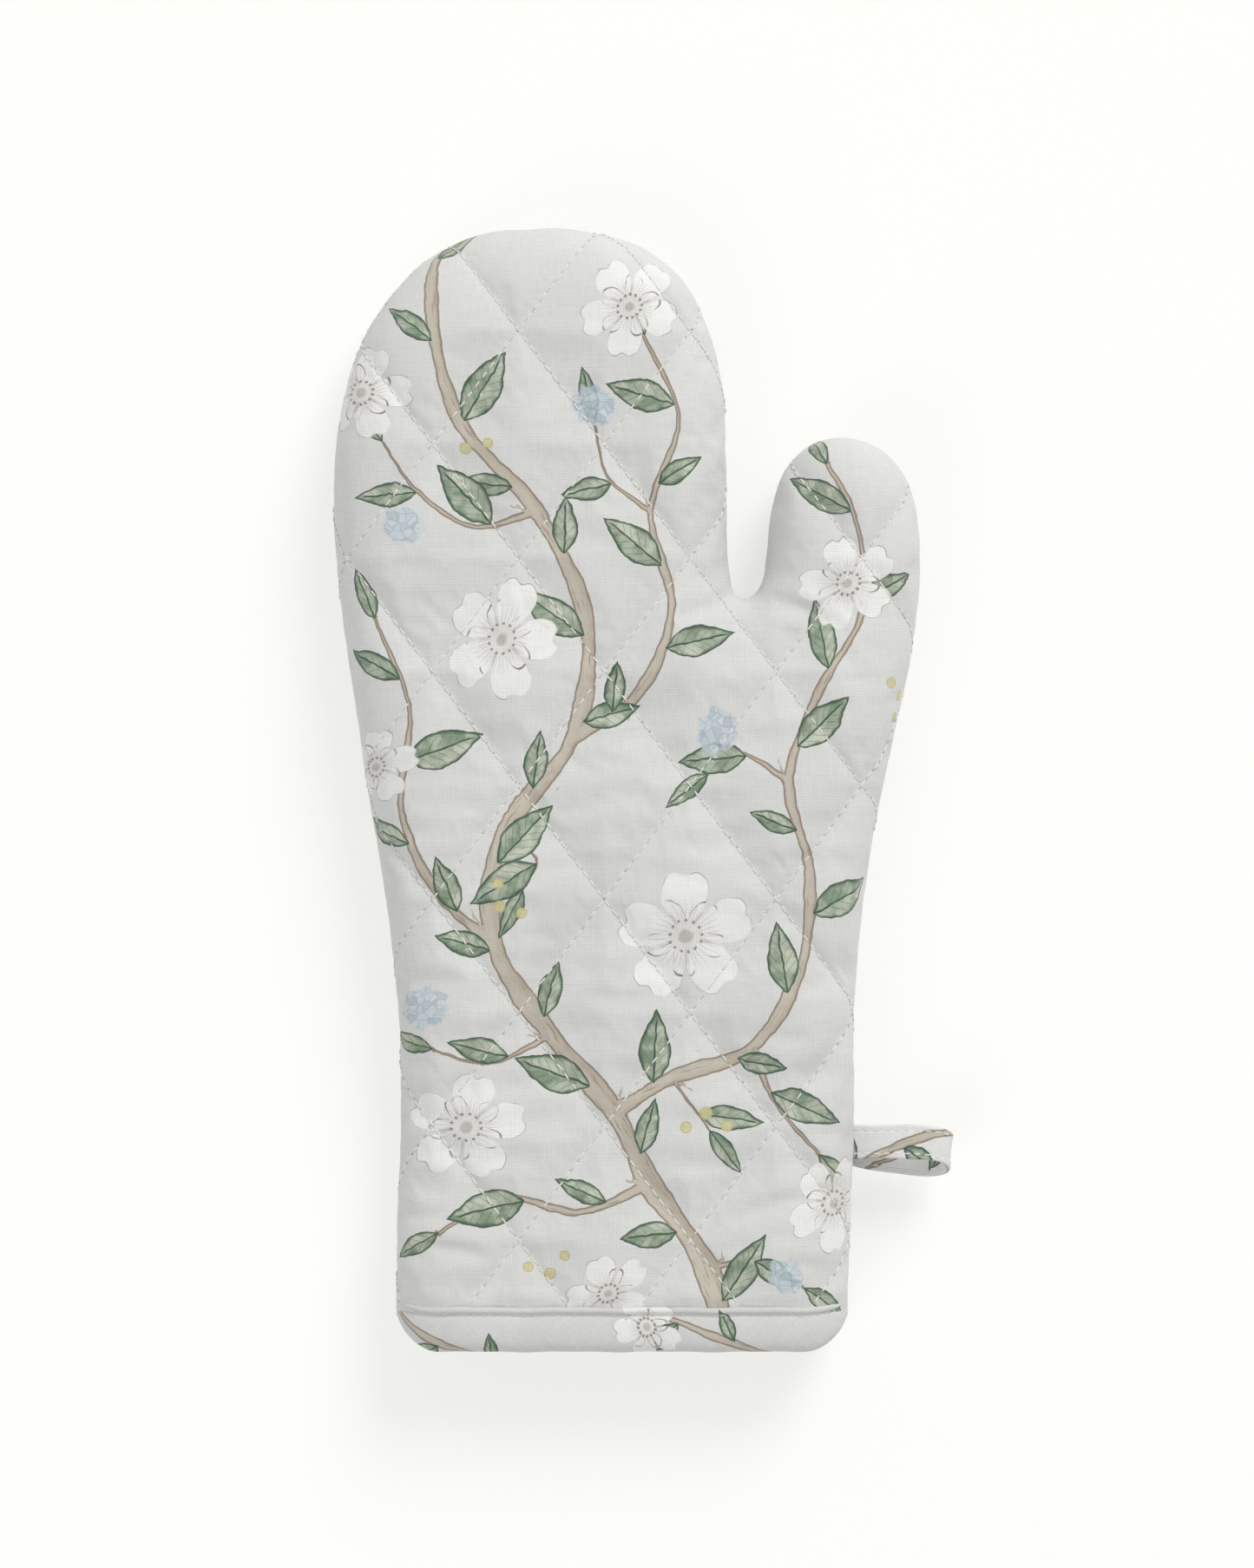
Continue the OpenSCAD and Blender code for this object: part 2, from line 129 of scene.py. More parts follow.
def through(points: list[tuple[float, float]], step: float) -> Array:
    """A smooth curve through points, with an even spacing along it.

    Args:
        points: Places that the curve passes, in order.
        step: Spacing along the curve.

    Returns:
        The curve's places, one row each.
    """
    p = np.array(points, float)
    p = np.vstack([2 * p[0] - p[1], p, 2 * p[-1] - p[-2]])
    out = []
    for k in range(1, len(p) - 2):
        a, b, c, d = p[k - 1 : k + 3]
        ta = max(np.linalg.norm(b - a), 1e-6) ** 0.5
        tb = ta + max(np.linalg.norm(c - b), 1e-6) ** 0.5
        tc = tb + max(np.linalg.norm(d - c), 1e-6) ** 0.5
        t = np.linspace(ta, tb, 24, endpoint=False)[:, None]
        e = (ta - t) / ta * a + t / ta * b
        f = (tb - t) / (tb - ta) * b + (t - ta) / (tb - ta) * c
        g = (tc - t) / (tc - tb) * c + (t - tb) / (tc - tb) * d
        h = (tb - t) / tb * e + t / tb * f
        i = (tc - t) / (tc - ta) * f + (t - ta) / (tc - ta) * g
        out.append((tb - t) / (tb - ta) * h + (t - ta) / (tb - ta) * i)
    curve = np.vstack(out + [p[-2:-1]])
    return evenly(curve, step)


def evenly(curve: Array, step: float) -> Array:
    """The same polyline with an even spacing.

    Args:
        curve: Places along the polyline, one row each.
        step: Spacing wanted.

    Returns:
        The new places, from the first to the last.
    """
    run = np.concatenate([[0.0], np.cumsum(np.linalg.norm(np.diff(curve, axis=0), axis=1))])
    count = max(2, int(round(run[-1] / step)) + 1)
    at = np.linspace(0.0, run[-1], count)
    return np.stack([np.interp(at, run, curve[:, c]) for c in range(curve.shape[1])], axis=1)


def to_polyline(points: Array, line: Array) -> tuple[Array, Array]:
    """Distance from flat places to a polyline.

    Args:
        points: Flat places, one row each.
        line: The polyline's places, one row each.

    Returns:
        Each place's distance, and how far along the line its nearest point lies.
    """
    a, b = line[:-1], line[1:]
    ab = b - a
    length = np.linalg.norm(ab, axis=1)
    run = np.concatenate([[0.0], np.cumsum(length)])[:-1]
    far, along = [], []
    for start in range(0, len(points), 4000):
        p = points[start : start + 4000, None, :2]
        t = np.clip(((p - a) * ab).sum(2) / np.maximum(length**2, 1e-12), 0.0, 1.0)
        gap = np.linalg.norm(p - (a + t[..., None] * ab), axis=2)
        k = gap.argmin(1)
        rows = np.arange(len(k))
        far.append(gap[rows, k])
        along.append(run[k] + t[rows, k] * length[k])
    return np.concatenate(far), np.concatenate(along)


def inside(points: Array, loop: Array) -> Array:
    """Which flat places lie inside a closed loop.

    Args:
        points: Flat places, one row each.
        loop: The loop's corners in order, one row each.

    Returns:
        One truth value for each place.
    """
    x, y = points[:, 0], points[:, 1]
    found = np.zeros(len(points), bool)
    for (x0, y0), (x1, y1) in zip(loop, np.roll(loop, -1, axis=0)):
        if y0 == y1:
            continue
        crossing = ((y0 > y) != (y1 > y)) & (x < (x1 - x0) * (y - y0) / (y1 - y0) + x0)
        found ^= crossing
    return found


def unit(ways: Array) -> Array:
    """The same directions with length 1, along the last axis."""
    return ways / np.maximum(np.linalg.norm(ways, axis=-1, keepdims=True), 1e-9)


def rings_round(spots: Array, side: Array, up: Array, radius: Array, count: int) -> Array:
    """Places rings of corners round the stations of many threads.

    Args:
        spots: Middle of each ring: thread, station, then X, Y and Z.
        side: Direction to the side at each.
        up: The other direction across the thread at each.
        radius: Radius at each station.
        count: Corners in a ring.

    Returns:
        Corner places: thread, station, corner, then X, Y and Z.
    """
    turn = (2.0 * np.pi * np.arange(count) / count)[:, None]
    ring = side[:, :, None] * np.cos(turn) + up[:, :, None] * np.sin(turn)
    return spots[:, :, None] + ring * radius[:, None, None]


def side_of(curve: Array) -> Array:
    """Finds unit directions to the right of a flat curve.

    Args:
        curve: Places along the curve in mm, one row each.

    Returns:
        One direction for each place.
    """
    along = unit(np.gradient(curve, axis=0))
    return np.stack([along[:, 1], -along[:, 0]], axis=1)


def make_piece(name: str, places: Array, faces: list) -> Piece:
    """A mesh object from places in mm.

    Args:
        name: The piece's name.
        places: Corner places in mm, one row each.
        faces: Each face's corner numbers.

    Returns:
        The new object, in the scene's collection.
    """
    mesh = bpy.data.meshes.new(name)
    mesh.from_pydata((places * MM).tolist(), [], faces)
    mesh.validate()
    mesh.update()
    mesh.shade_smooth()
    piece = bpy.data.objects.new(name, mesh)
    bpy.context.scene.collection.objects.link(piece)
    return piece


def places_of(piece: Piece) -> Array:
    """Reads a mesh's corner places.

    Args:
        piece: The object to read.

    Returns:
        Places in mm, one row each.
    """
    flat = np.empty(len(piece.data.vertices) * 3)
    piece.data.vertices.foreach_get("co", flat)
    return flat.reshape(-1, 3) / MM


def set_places(piece: Piece, places: Array) -> None:
    """Moves the mesh's corners.

    Args:
        piece: The object whose mesh changes.
        places: New places in mm, one row each.
    """
    piece.data.vertices.foreach_set("co", (places * MM).ravel())
    piece.data.update()


def normals_of(piece: Piece) -> Array:
    """Reads a mesh's corner normals.

    Args:
        piece: The object to read.

    Returns:
        Unit normals, one row each.
    """
    flat = np.empty(len(piece.data.vertices) * 3)
    piece.data.vertex_normals.foreach_get("vector", flat)
    return flat.reshape(-1, 3)


def put_numbers(piece: Piece, name: str, values: Array) -> None:
    """Stores one number or three for each corner of the mesh.

    Args:
        piece: The object whose mesh takes them.
        name: The attribute's name.
        values: One row or number for each corner.
    """
    kind = "FLOAT" if values.ndim == 1 else "FLOAT_VECTOR"
    made = piece.data.attributes.new(name, kind, "POINT")
    made.data.foreach_set(
        "value" if values.ndim == 1 else "vector", values.astype(np.float32).ravel()
    )


def put_map(piece: Piece, flat: Array, around: tuple = (0.0, 0.0)) -> Array:
    """Lays a flat map over the mesh.

    Args:
        piece: The object whose mesh takes it.
        flat: Each corner's flat place in mm.
        around: Length after which the cloth meets itself along each flat axis, or 0.

    Returns:
        The flat size that the whole map spans.
    """
    layer = piece.data.uv_layers.new(name="OFBake")
    index = np.empty(len(piece.data.loops), np.int32)
    piece.data.loops.foreach_get("vertex_index", index)
    spots = flat[index, :2].copy()
    for axis, length in enumerate(around):
        if length:
            quads = spots[:, axis].reshape(-1, 4)
            quads += length * (quads.max(1)[:, None] - quads > length / 2)
            spots[:, axis] = quads.ravel()
    corner = spots.min(0) - 1.0
    span = spots.max(0) + 1.0 - corner
    layer.data.foreach_set("uv", ((spots - corner) / span).astype(np.float32).ravel())
    return span


def face_outward(piece: Piece) -> None:
    """Turns a closed piece's faces outward where they point inward.

    Args:
        piece: The object to change.
    """
    bm = bmesh.new()
    bm.from_mesh(piece.data)
    bmesh.ops.recalc_face_normals(bm, faces=bm.faces)
    bm.to_mesh(piece.data)
    bm.free()
    piece.data.update()


def round_off(piece: Piece, printed: Array) -> Array:
    """Rounds the mesh with a subdivision surface and keeps the result.

    Args:
        piece: The object to change.
        printed: Each corner's flat place on the cloth before, in mm.

    Returns:
        Each corner's flat place on the cloth after, in mm.
    """
    put_numbers(piece, "printed", np.column_stack([printed[:, :2], np.zeros(len(printed))]))
    rounder = piece.modifiers.new("Rounding", "SUBSURF")
    rounder.levels = rounder.render_levels = 1
    bpy.context.view_layer.update()
    seen = piece.evaluated_get(bpy.context.evaluated_depsgraph_get())
    mesh = bpy.data.meshes.new_from_object(seen)
    piece.modifiers.clear()
    old, piece.data = piece.data, mesh
    mesh.name = piece.name
    bpy.data.meshes.remove(old)
    flat = np.empty(len(mesh.vertices) * 3, np.float32)
    mesh.attributes["printed"].data.foreach_get("vector", flat)
    return flat.reshape(-1, 3)[:, :2].astype(float)


# --- shape of the mitt ---


@dataclass(frozen=True)
class Frame:
    """Where the solids say the mitt's main places are, in mm."""

    cuff_edge: float
    seam: float
    top: float
    cuff_half: float
    hinge: tuple[float, float, float]

    @classmethod
    def read(cls) -> "Frame":
        """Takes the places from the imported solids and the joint.

        Returns:
            The places, in mm.
        """
        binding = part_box("cuff_binding")
        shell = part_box("front_shell")
        hinge = frame["record"]["behaviour"]["joints"][0]["pos_m"]
        return cls(
            cuff_edge=binding[0][1] / MM,
            seam=shell[0][2] / MM,
            top=shell[1][2] / MM,
            cuff_half=binding[1][0] / MM,
            hinge=tuple(v / MM for v in hinge),
        )


@dataclass(frozen=True)
class Fold:
    """A soft crease in the cloth: a valley with a low swell on each side."""

    start: tuple[float, float]
    end: tuple[float, float]
    depth: float
    width: float

    def at(self, flat: Array) -> Array:
        """Gives the height change that the fold makes.

        Args:
            flat: Flat places in mm, one row each.

        Returns:
            Height change for each place, in mm.
        """
        a, b = np.array(self.start), np.array(self.end)
        run = b - a
        length = np.linalg.norm(run)
        along = ((flat[:, :2] - a) @ run) / length**2
        across = ((flat[:, :2] - a) @ np.array([-run[1], run[0]])) / length
        across = across + 0.06 * length * np.sin(along * 3.0 + self.depth * 9.0)
        fade = ease(along, -0.25, 0.2) * (1.0 - ease(along, 0.55, 1.1))
        t = across / self.width
        return self.depth * fade * (0.55 * np.exp(-((np.abs(t) - 1.7) ** 2)) - np.exp(-t * t))


@dataclass
class MittShape:
    """Outline and height of the mitt, shared by its panels, linings and seams."""

    frame: Frame
    roll: float = 24.0
    fullness: float = 2.35
    back_roll: float = 13.0
    pinch: float = 1.1
    mouth_back: float = 9.5
    quilt_half: tuple[float, float] = (24.3, 32.2)
    quilt_cross: tuple[float, float] = (19.3, 0.7)
    outline: Array = field(init=False)
    normal: Array = field(init=False)

    def __post_init__(self) -> None:
        """Draws the outline from the cuff's left corner over the fingers and thumb."""
        low = self.frame.cuff_edge + self.mouth_back
        half = self.frame.cuff_half - 0.8
        points = [
            (-half, low), (-half, -130.0), (-63.4, -98.0), (-63.9, -66.0), (-66.2, -42.0),
            (-70.3, -15.0), (-75.6, 17.0), (-80.4, 50.0), (-82.6, 80.0), (-81.3, 102.0),
            (-76.0, 123.0), (-67.0, 139.2), (-54.5, 151.4), (-40.0, 158.0), (-24.0, 160.0),
            (-8.0, 158.4), (6.5, 153.8), (17.6, 144.4), (24.6, 131.2), (28.8, 115.0),
            (29.9, 96.0), (30.0, 76.0), (30.7, 61.5), (32.6, 54.8), (36.2, 54.2), (39.6, 58.0),
            (41.2, 66.0), (42.6, 79.0), (46.4, 90.6), (54.0, 98.0), (64.0, 99.9), (74.0, 96.4),
            (81.4, 87.6), (84.8, 74.0), (85.0, 57.0), (82.6, 37.0), (78.2, 17.0), (73.4, -6.0),
            (69.9, -27.0), (67.5, -47.0), (66.3, -65.0), (66.6, -86.0), (66.0, -110.0),
            (half + 0.4, -132.0), (half, low),
        ]
        self.outline = through(points, 2.0)
        self.normal = side_of(self.outline)

    def depth_in(self, flat: Array) -> Array:
        """How far flat places lie inside the outline, in mm."""
        return to_polyline(flat, self.outline)[0]

    def rise(self, flat: Array, side: Side) -> Array:
        """Gives a panel's full height over the seam's level, away from the edges.

        Args:
            flat: Flat places in mm, one row each.
            side: Which panel.

        Returns:
            Height for each place, in mm.
        """
        if side is Side.BACK:
            return np.full(len(flat), self.frame.seam)
        full = self.frame.top - self.frame.seam
        cuff = full - 3.0 * (1.0 - ease(flat[:, 1], -110.0, -20.0))
        thumb = ease(flat[:, 0], 34.0, 52.0) * ease(flat[:, 1], 10.0, 50.0)
        return cuff - 2.0 * thumb

    def rounding(self, side: Side) -> tuple[float, float]:
        """How far in a panel's edge is rounded, in mm, and how full the round is."""
        return (self.roll, self.fullness) if side is Side.FRONT else (self.back_roll, 2.0)

    def swell(self, depth: Array, side: Side) -> Array:
        """Gives the share of the full height that a panel has near its edge.

        Args:
            depth: How far inside the outline, in mm.
            side: Which panel.

        Returns:
            Shares from 0 to 1.
        """
        roll, power = self.rounding(side)
        t = 1.0 - np.clip(depth / roll, 0.0, 1.0)
        return np.power(1.0 - np.power(t, power), 1.0 / power)

    def inset_at(self, height: float, side: Side, rise: float) -> float:
        """Finds how far inside the outline a rounded edge reaches a height.

        Args:
            height: Height over the seam's level, in mm.
            side: Which panel.
            rise: The panel's full height there, in mm.

        Returns:
            The distance inside the outline, in mm.
        """
        roll, power = self.rounding(side)
        share = min(height / rise, 0.999)
        inset = roll * (1.0 - (1.0 - share**power) ** (1.0 / power))
        return inset + self.pinch * max(0.0, 1.0 - height / 2.4) ** 2

    def to_row(self, flat: Array) -> Array:
        """Measures the distance to the nearest quilting row.

        Args:
            flat: Flat places in mm, one row each.

        Returns:
            Distance for each place, in mm.
        """
        x = (flat[:, 0] - self.quilt_cross[0]) / self.quilt_half[0]
        y = (flat[:, 1] - self.quilt_cross[1]) / self.quilt_half[1]
        pitch = self.quilt_half[0] * self.quilt_half[1] / math.hypot(*self.quilt_half)
        gaps = [np.abs(w - 2.0 * np.round(w / 2.0)) * pitch for w in (x + y, x - y)]
        return np.minimum(*gaps)


# --- quilted panels ---


@dataclass
class Layout:
    """A panel's mesh before it is raised."""

    flat: Array
    heights: Array
    printed: Array
    faces: list


@dataclass
class QuiltedPanel:
    """One padded panel: shell cloth over batting, quilted in diamonds."""

    shape: MittShape
    side: Side
    label: str = "panel"
    inward: bool = False
    cells: int = 14
    inset: float = 0.0
    drop: float = 0.0
    valley: float = 1.8
    puff: float = 2.7
    swell_cap: float = 0.8
    pressure: float = 3.0
    folds: tuple[Fold, ...] = ()
    piece: Piece = field(init=False, default=None)
    printed: Array = field(init=False, default=None)

    def ring_heights(self) -> list[float]:
        """Lists the heights at which the rounded edge has its rings.

        Returns:
            Heights over the seam's level, in mm.
        """
        if self.side is Side.FRONT:
            return [0.0, 0.8, 2.0, 3.8, 5.8, 7.8, 9.8]
        return [0.0, 0.8, 2.0, 3.6, 5.4, 7.2, 8.8]

    def grid(self, loop: Array) -> tuple[list, list]:
        """Flat places inside a loop that follow the quilting rows.

        Args:
            loop: The closed boundary's places.

        Returns:
            The places, and the pairs of places that lie along a row.
        """
        hx, hy = (v / self.cells for v in self.shape.quilt_half)
        cx, cy = self.shape.quilt_cross
        low, high = loop.min(0), loop.max(0)
        a = np.arange(math.ceil((low[0] - cx) / hx), math.floor((high[0] - cx) / hx) + 1)
        b = np.arange(math.ceil((low[1] - cy) / hy), math.floor((high[1] - cy) / hy) + 1)
        cols, rows = (v.ravel() for v in np.meshgrid(a, b))
        flat = np.stack([cx + cols * hx, cy + rows * hy], axis=1)
        gap, _ = to_polyline(flat, np.vstack([loop, loop[:1]]))
        keep = inside(flat, loop) & (gap > 0.55 * max(hx, hy))
        number = {(int(c), int(r)): k for k, (c, r) in enumerate(zip(cols[keep], rows[keep]))}
        pairs = []
        for (c, r), k in number.items():
            for step, test in ((1, c - r), (-1, c + r)):
                other = number.get((c + step, r + 1))
                if other is not None and test % (2 * self.cells) == 0:
                    pairs.append((k, other))
        return flat[keep].tolist(), pairs

    def lay_out(self) -> Layout:
        """Lays out the panel's mesh: rings round its edge, and a quilted field inside.

        Returns:
            The mesh's flat layout.
        """
        shape, side = self.shape, self.side
        line, inward = shape.outline, shape.normal
        rise = shape.rise(line, side) - self.drop
        heights = self.ring_heights()
        insets = [
            np.array([shape.inset_at(h, side, r) for r in rise]) + self.inset for h in heights
        ]
        rings = [line + inward * inset[:, None] for inset in insets]
        loop, count = rings[-1], len(line)
        steps = int(round((loop[-1, 0] - loop[0, 0]) / 2.4))
        mouth = np.linspace(loop[-1], loop[0], steps + 1)[1:-1]
        boundary = np.vstack([loop, mouth])
        inner, pairs = self.grid(boundary)
        total = len(boundary)
        edges = [(k, (k + 1) % total) for k in range(total)]
        edges += [(a + total, b + total) for a, b in pairs]
        places = [Vector(p) for p in boundary.tolist() + inner]
        made = planar.delaunay_2d_cdt(places, edges, [list(range(total))], 1, 1e-5)
        flat = np.array([p[:] for p in made[0]])
        source = {o: k for k, origins in enumerate(made[3]) for o in origins}
        column = [source[k] for k in range(count)]
        parts, printed, levels = [flat], [flat], [np.full(len(flat), -1.0)]
        faces = [list(f) for f in made[2]]
        run, start = np.zeros(count), len(flat)
        for k in range(len(rings) - 2, -1, -1):
            run = run + np.hypot(insets[k + 1] - insets[k], heights[k + 1] - heights[k])
            parts.append(rings[k])
            printed.append(loop - inward * run[:, None])
            levels.append(np.full(count, heights[k]))
            below = list(range(start, start + count))
            faces += [
                [column[c], column[c + 1], below[c + 1], below[c]] for c in range(count - 1)
            ]
            column, start = below, start + count
        if (side is Side.BACK) != self.inward:
            faces = [f[::-1] for f in faces]
        return Layout(np.vstack(parts), np.concatenate(levels), np.vstack(printed), faces)

    def lift(self, layout: Layout) -> Array:
        """Raises the flat layout to the mitt's form, with its puffs and folds.

        Args:
            layout: The mesh as laid out.

        Returns:
            The corners' places.
        """
        shape, side, flat = self.shape, self.side, layout.flat
        full = shape.rise(flat, side) - self.drop
        full = full * shape.swell(shape.depth_in(flat) - self.inset, side)
        full = np.where(layout.heights >= 0.0, layout.heights, full)
        low = shape.frame.cuff_edge
        squeeze = 1.0 - ease(flat[:, 1], low + 11.5, low + 17.0)
        if self.drop:
            squeeze = np.zeros(len(flat))
        edge = ease(full, 1.0, 9.0)
        bump = self.puff * (1.0 - np.exp(-shape.to_row(flat) / 5.5)) - self.valley
        side_pull = 0.45 + 0.5 * (1.0 - ease(shape.depth_in(flat), 8.0, 26.0))
        ripple = side_pull * wander(flat, (26.0, 6.5), 3.1) * ease(-flat[:, 1], -70.0, 30.0)
        ripple += 0.42 * wander(flat, (34.0, 25.0), 8.7)
        bump = bump + ripple + sum((f.at(flat) for f in self.folds), np.zeros(len(flat)))
        level = full + edge * ((1.0 - squeeze) * bump - 1.25 * squeeze)
        return np.column_stack([flat, shape.frame.seam + side.up * level])

    def held(self, layout: Layout) -> Array:
        """Finds the corners that seams and quilting rows hold while the batting swells.

        Args:
            layout: The mesh's flat layout.

        Returns:
            True for each corner that is held.
        """
        low = self.shape.frame.cuff_edge
        on_row = self.shape.to_row(layout.flat) < 0.05
        at_edge = (layout.heights >= 0.0) & (layout.heights < 1.5)
        return on_row | at_edge | (layout.flat[:, 1] < low + 13.0)

    def swell(self, start: Array, layout: Layout) -> Array:
        """Lets the batting push the cloth out between the rows that hold it.

        Args:
            start: The corners' places before.
            layout: The mesh as laid out.

        Returns:
            The corners' places after, none moved further than the cap.
        """
        scene = bpy.context.scene
        cloth = make_piece("swelling", start, layout.faces)
        group = cloth.vertex_groups.new(name="held")
        group.add(np.nonzero(self.held(layout))[0].tolist(), 1.0, "REPLACE")
        soft = cloth.modifiers.new("Swelling", "CLOTH")
        rules = soft.settings
        rules.quality = 5
        rules.mass = 0.15
        rules.tension_stiffness = rules.compression_stiffness = 12.0
        rules.shear_stiffness = 6.0
        rules.bending_stiffness = 4.0
        rules.use_pressure = True
        rules.uniform_pressure_force = self.pressure
        rules.shrink_min = -0.01
        rules.vertex_group_mass = "held"
        rules.effector_weights.gravity = 0.0
        soft.collision_settings.use_collision = False
        soft.point_cache.frame_start, soft.point_cache.frame_end = 1, 20
        for step in range(1, 21):
            scene.frame_set(step)
        seen = cloth.evaluated_get(bpy.context.evaluated_depsgraph_get())
        flat = np.empty(len(start) * 3)
        seen.data.vertices.foreach_get("co", flat)
        moved = flat.reshape(-1, 3) / MM - start
        bpy.data.objects.remove(cloth)
        scene.frame_set(1)
        reach = np.linalg.norm(moved, axis=1)
        LOG.info("%s swelled by %.2f mm, at most %.2f", self.side.value, reach.mean(), reach.max())
        limit = self.swell_cap * np.tanh(reach / self.swell_cap) / np.maximum(reach, 1e-6)
        return start + moved * limit[:, None]

    def build(self) -> Piece:
        """Makes the cloth's piece, with its print places kept.

        Returns:
            The finished piece.
        """
        layout = self.lay_out()
        places = self.lift(layout)
        if self.pressure:
            places = self.swell(places, layout)
        if self.side is Side.BACK:
            places[:, 2] = np.maximum(places[:, 2], 0.05)
        self.piece = make_piece(f"{self.side.value}_{self.label}", places, layout.faces)
        self.printed = round_off(self.piece, layout.printed)
        if self.side is Side.BACK:
            places = places_of(self.piece)
            places[:, 2] = np.maximum(places[:, 2], 0.02)
            set_places(self.piece, places)
        return self.piece


# --- finishes ---


class Nodes:
    """Short ways to place and link nodes in one tree."""

    def __init__(self, tree: Tree) -> None:
        """Takes the tree that the nodes go in."""
        self.tree = tree

    def add(self, kind: str, **settings: object) -> bpy.types.Node:
        """Adds a node.

        Args:
            kind: Blender's name for the node.
            settings: Values of its properties.

        Returns:
            The new node.
        """
        node = self.tree.nodes.new(kind)
        for name, value in settings.items():
            setattr(node, name, value)
        return node

    def feed(self, socket: Socket, value: object) -> None:
        """Links a socket to another's output, or gives it a plain value.

        Args:
            socket: The input to feed.
            value: An output, a value, or None for neither.
        """
        if isinstance(value, Socket):
            self.tree.links.new(value, socket)
        elif value is not None:
            socket.default_value = value

    def math(self, kind: str, *values: object) -> Socket:
        """Adds a Math node of up to three inputs.

        Args:
            kind: The operation.
            values: Its inputs in order.

        Returns:
            The result's output.
        """
        node = self.add("ShaderNodeMath", operation=kind)
        for socket, value in zip(node.inputs, values):
            self.feed(socket, value)
        return node.outputs[0]

    def plus(self, first: object, second: object) -> Socket:
        """Adds two numbers."""
        return self.math("ADD", first, second)

    def minus(self, first: object, second: object) -> Socket:
        """Takes the second number from the first."""
        return self.math("SUBTRACT", first, second)

    def times(self, first: object, second: object) -> Socket:
        """Multiplies two numbers."""
        return self.math("MULTIPLY", first, second)

    def most(self, first: object, second: object) -> Socket:
        """The larger of two numbers."""
        return self.math("MAXIMUM", first, second)

    def radius(self, x: object, y: object) -> Socket:
        """How far a flat place is from the middle."""
        return self.math("SQRT", self.plus(self.times(x, x), self.times(y, y)))

    def vector(self, kind: str, *values: object) -> Socket:
        """Adds a Vector Math node.

        Args:
            kind: The operation.
            values: Its inputs in order.

        Returns:
            The output of its vector result.
        """
        node = self.add("ShaderNodeVectorMath", operation=kind)
        for socket, value in zip(node.inputs, values):
            self.feed(socket, value)
        return node.outputs["Vector"]

    def step(self, value: object, low: object, high: object) -> Socket:
        """Adds a smooth step from 0 at low to 1 at high; low may be above high.

        Args:
            value: What is compared.
            low: Where the step begins.
            high: Where it ends.

        Returns:
            The step's output.
        """
        node = self.add("ShaderNodeMapRange", interpolation_type="SMOOTHSTEP")
        for socket, number in zip(node.inputs, (value, low, high)):
            self.feed(socket, number)
        return node.outputs[0]

    def mix(self, share: object, first: object, second: object) -> Socket:
        """Mixes two colours.

        Args:
            share: Share of the second colour.
            first: The first colour.
            second: The second colour.

        Returns:
            The mixed colour's output.
        """
        node = self.add("ShaderNodeMix", data_type="RGBA")
        for name, value in (("Factor", share), ("A", first), ("B", second)):
            kind = "VALUE" if name == "Factor" else "RGBA"
            self.feed(next(s for s in node.inputs if (s.name, s.type) == (name, kind)), value)
        return next(s for s in node.outputs if s.type == "RGBA")

    def noise(self, place: object, scale: tuple, detail: float = 2.0) -> Socket:
        """Adds noise from 0 to 1.

        Args:
            place: Where it is taken.
            scale: How fine it is along X, Y and Z.
            detail: How many finer layers it has.

        Returns:
            The noise's output.
        """
        node = self.add("ShaderNodeTexNoise")
        self.feed(node.inputs["Vector"], self.vector("MULTIPLY", place, scale))
        node.inputs["Scale"].default_value = 1.0
        node.inputs["Detail"].default_value = detail
        return node.outputs[0]

    def give(self, **values: object) -> Tree:
        """Hands out a group's results.

        Args:
            values: Its outputs by name.

        Returns:
            The finished group.
        """
        node = self.add("NodeGroupOutput")
        for name, value in values.items():
            self.feed(node.inputs[name], value)
        return self.tree

    def group(self, tree: Tree, **values: object) -> bpy.types.Node:
        """Places a node group and feeds its inputs by name.

        Args:
            tree: The group.
            values: Its inputs, with _ for each space.

        Returns:
            The group's node.
        """
        node = self.add("ShaderNodeGroup", node_tree=tree)
        for name, value in values.items():
            self.feed(node.inputs[name.replace("_", " ")], value)
        return node


def new_group(
    name: str, takes: list[tuple[str, str, object]], gives: list[tuple[str, str]]
) -> tuple[Nodes, bpy.types.bpy_prop_collection]:
    """Starts a shader node group.

    Args:
        name: The group's name.
        takes: Each input's name, kind (Float, Vector or Color) and value.
        gives: Each output's name and kind.

    Returns:
        The group's nodes, and its inputs by name.
    """
    tree = bpy.data.node_groups.new(name, "ShaderNodeTree")
    for label, kind, value in takes:
        socket = tree.interface.new_socket(
            label, in_out="INPUT", socket_type=f"NodeSocket{kind}"
        )
        if value is not None:
            socket.default_value = value
    for label, kind in gives:
        tree.interface.new_socket(label, in_out="OUTPUT", socket_type=f"NodeSocket{kind}")
    n = Nodes(tree)
    return n, n.add("NodeGroupInput").outputs


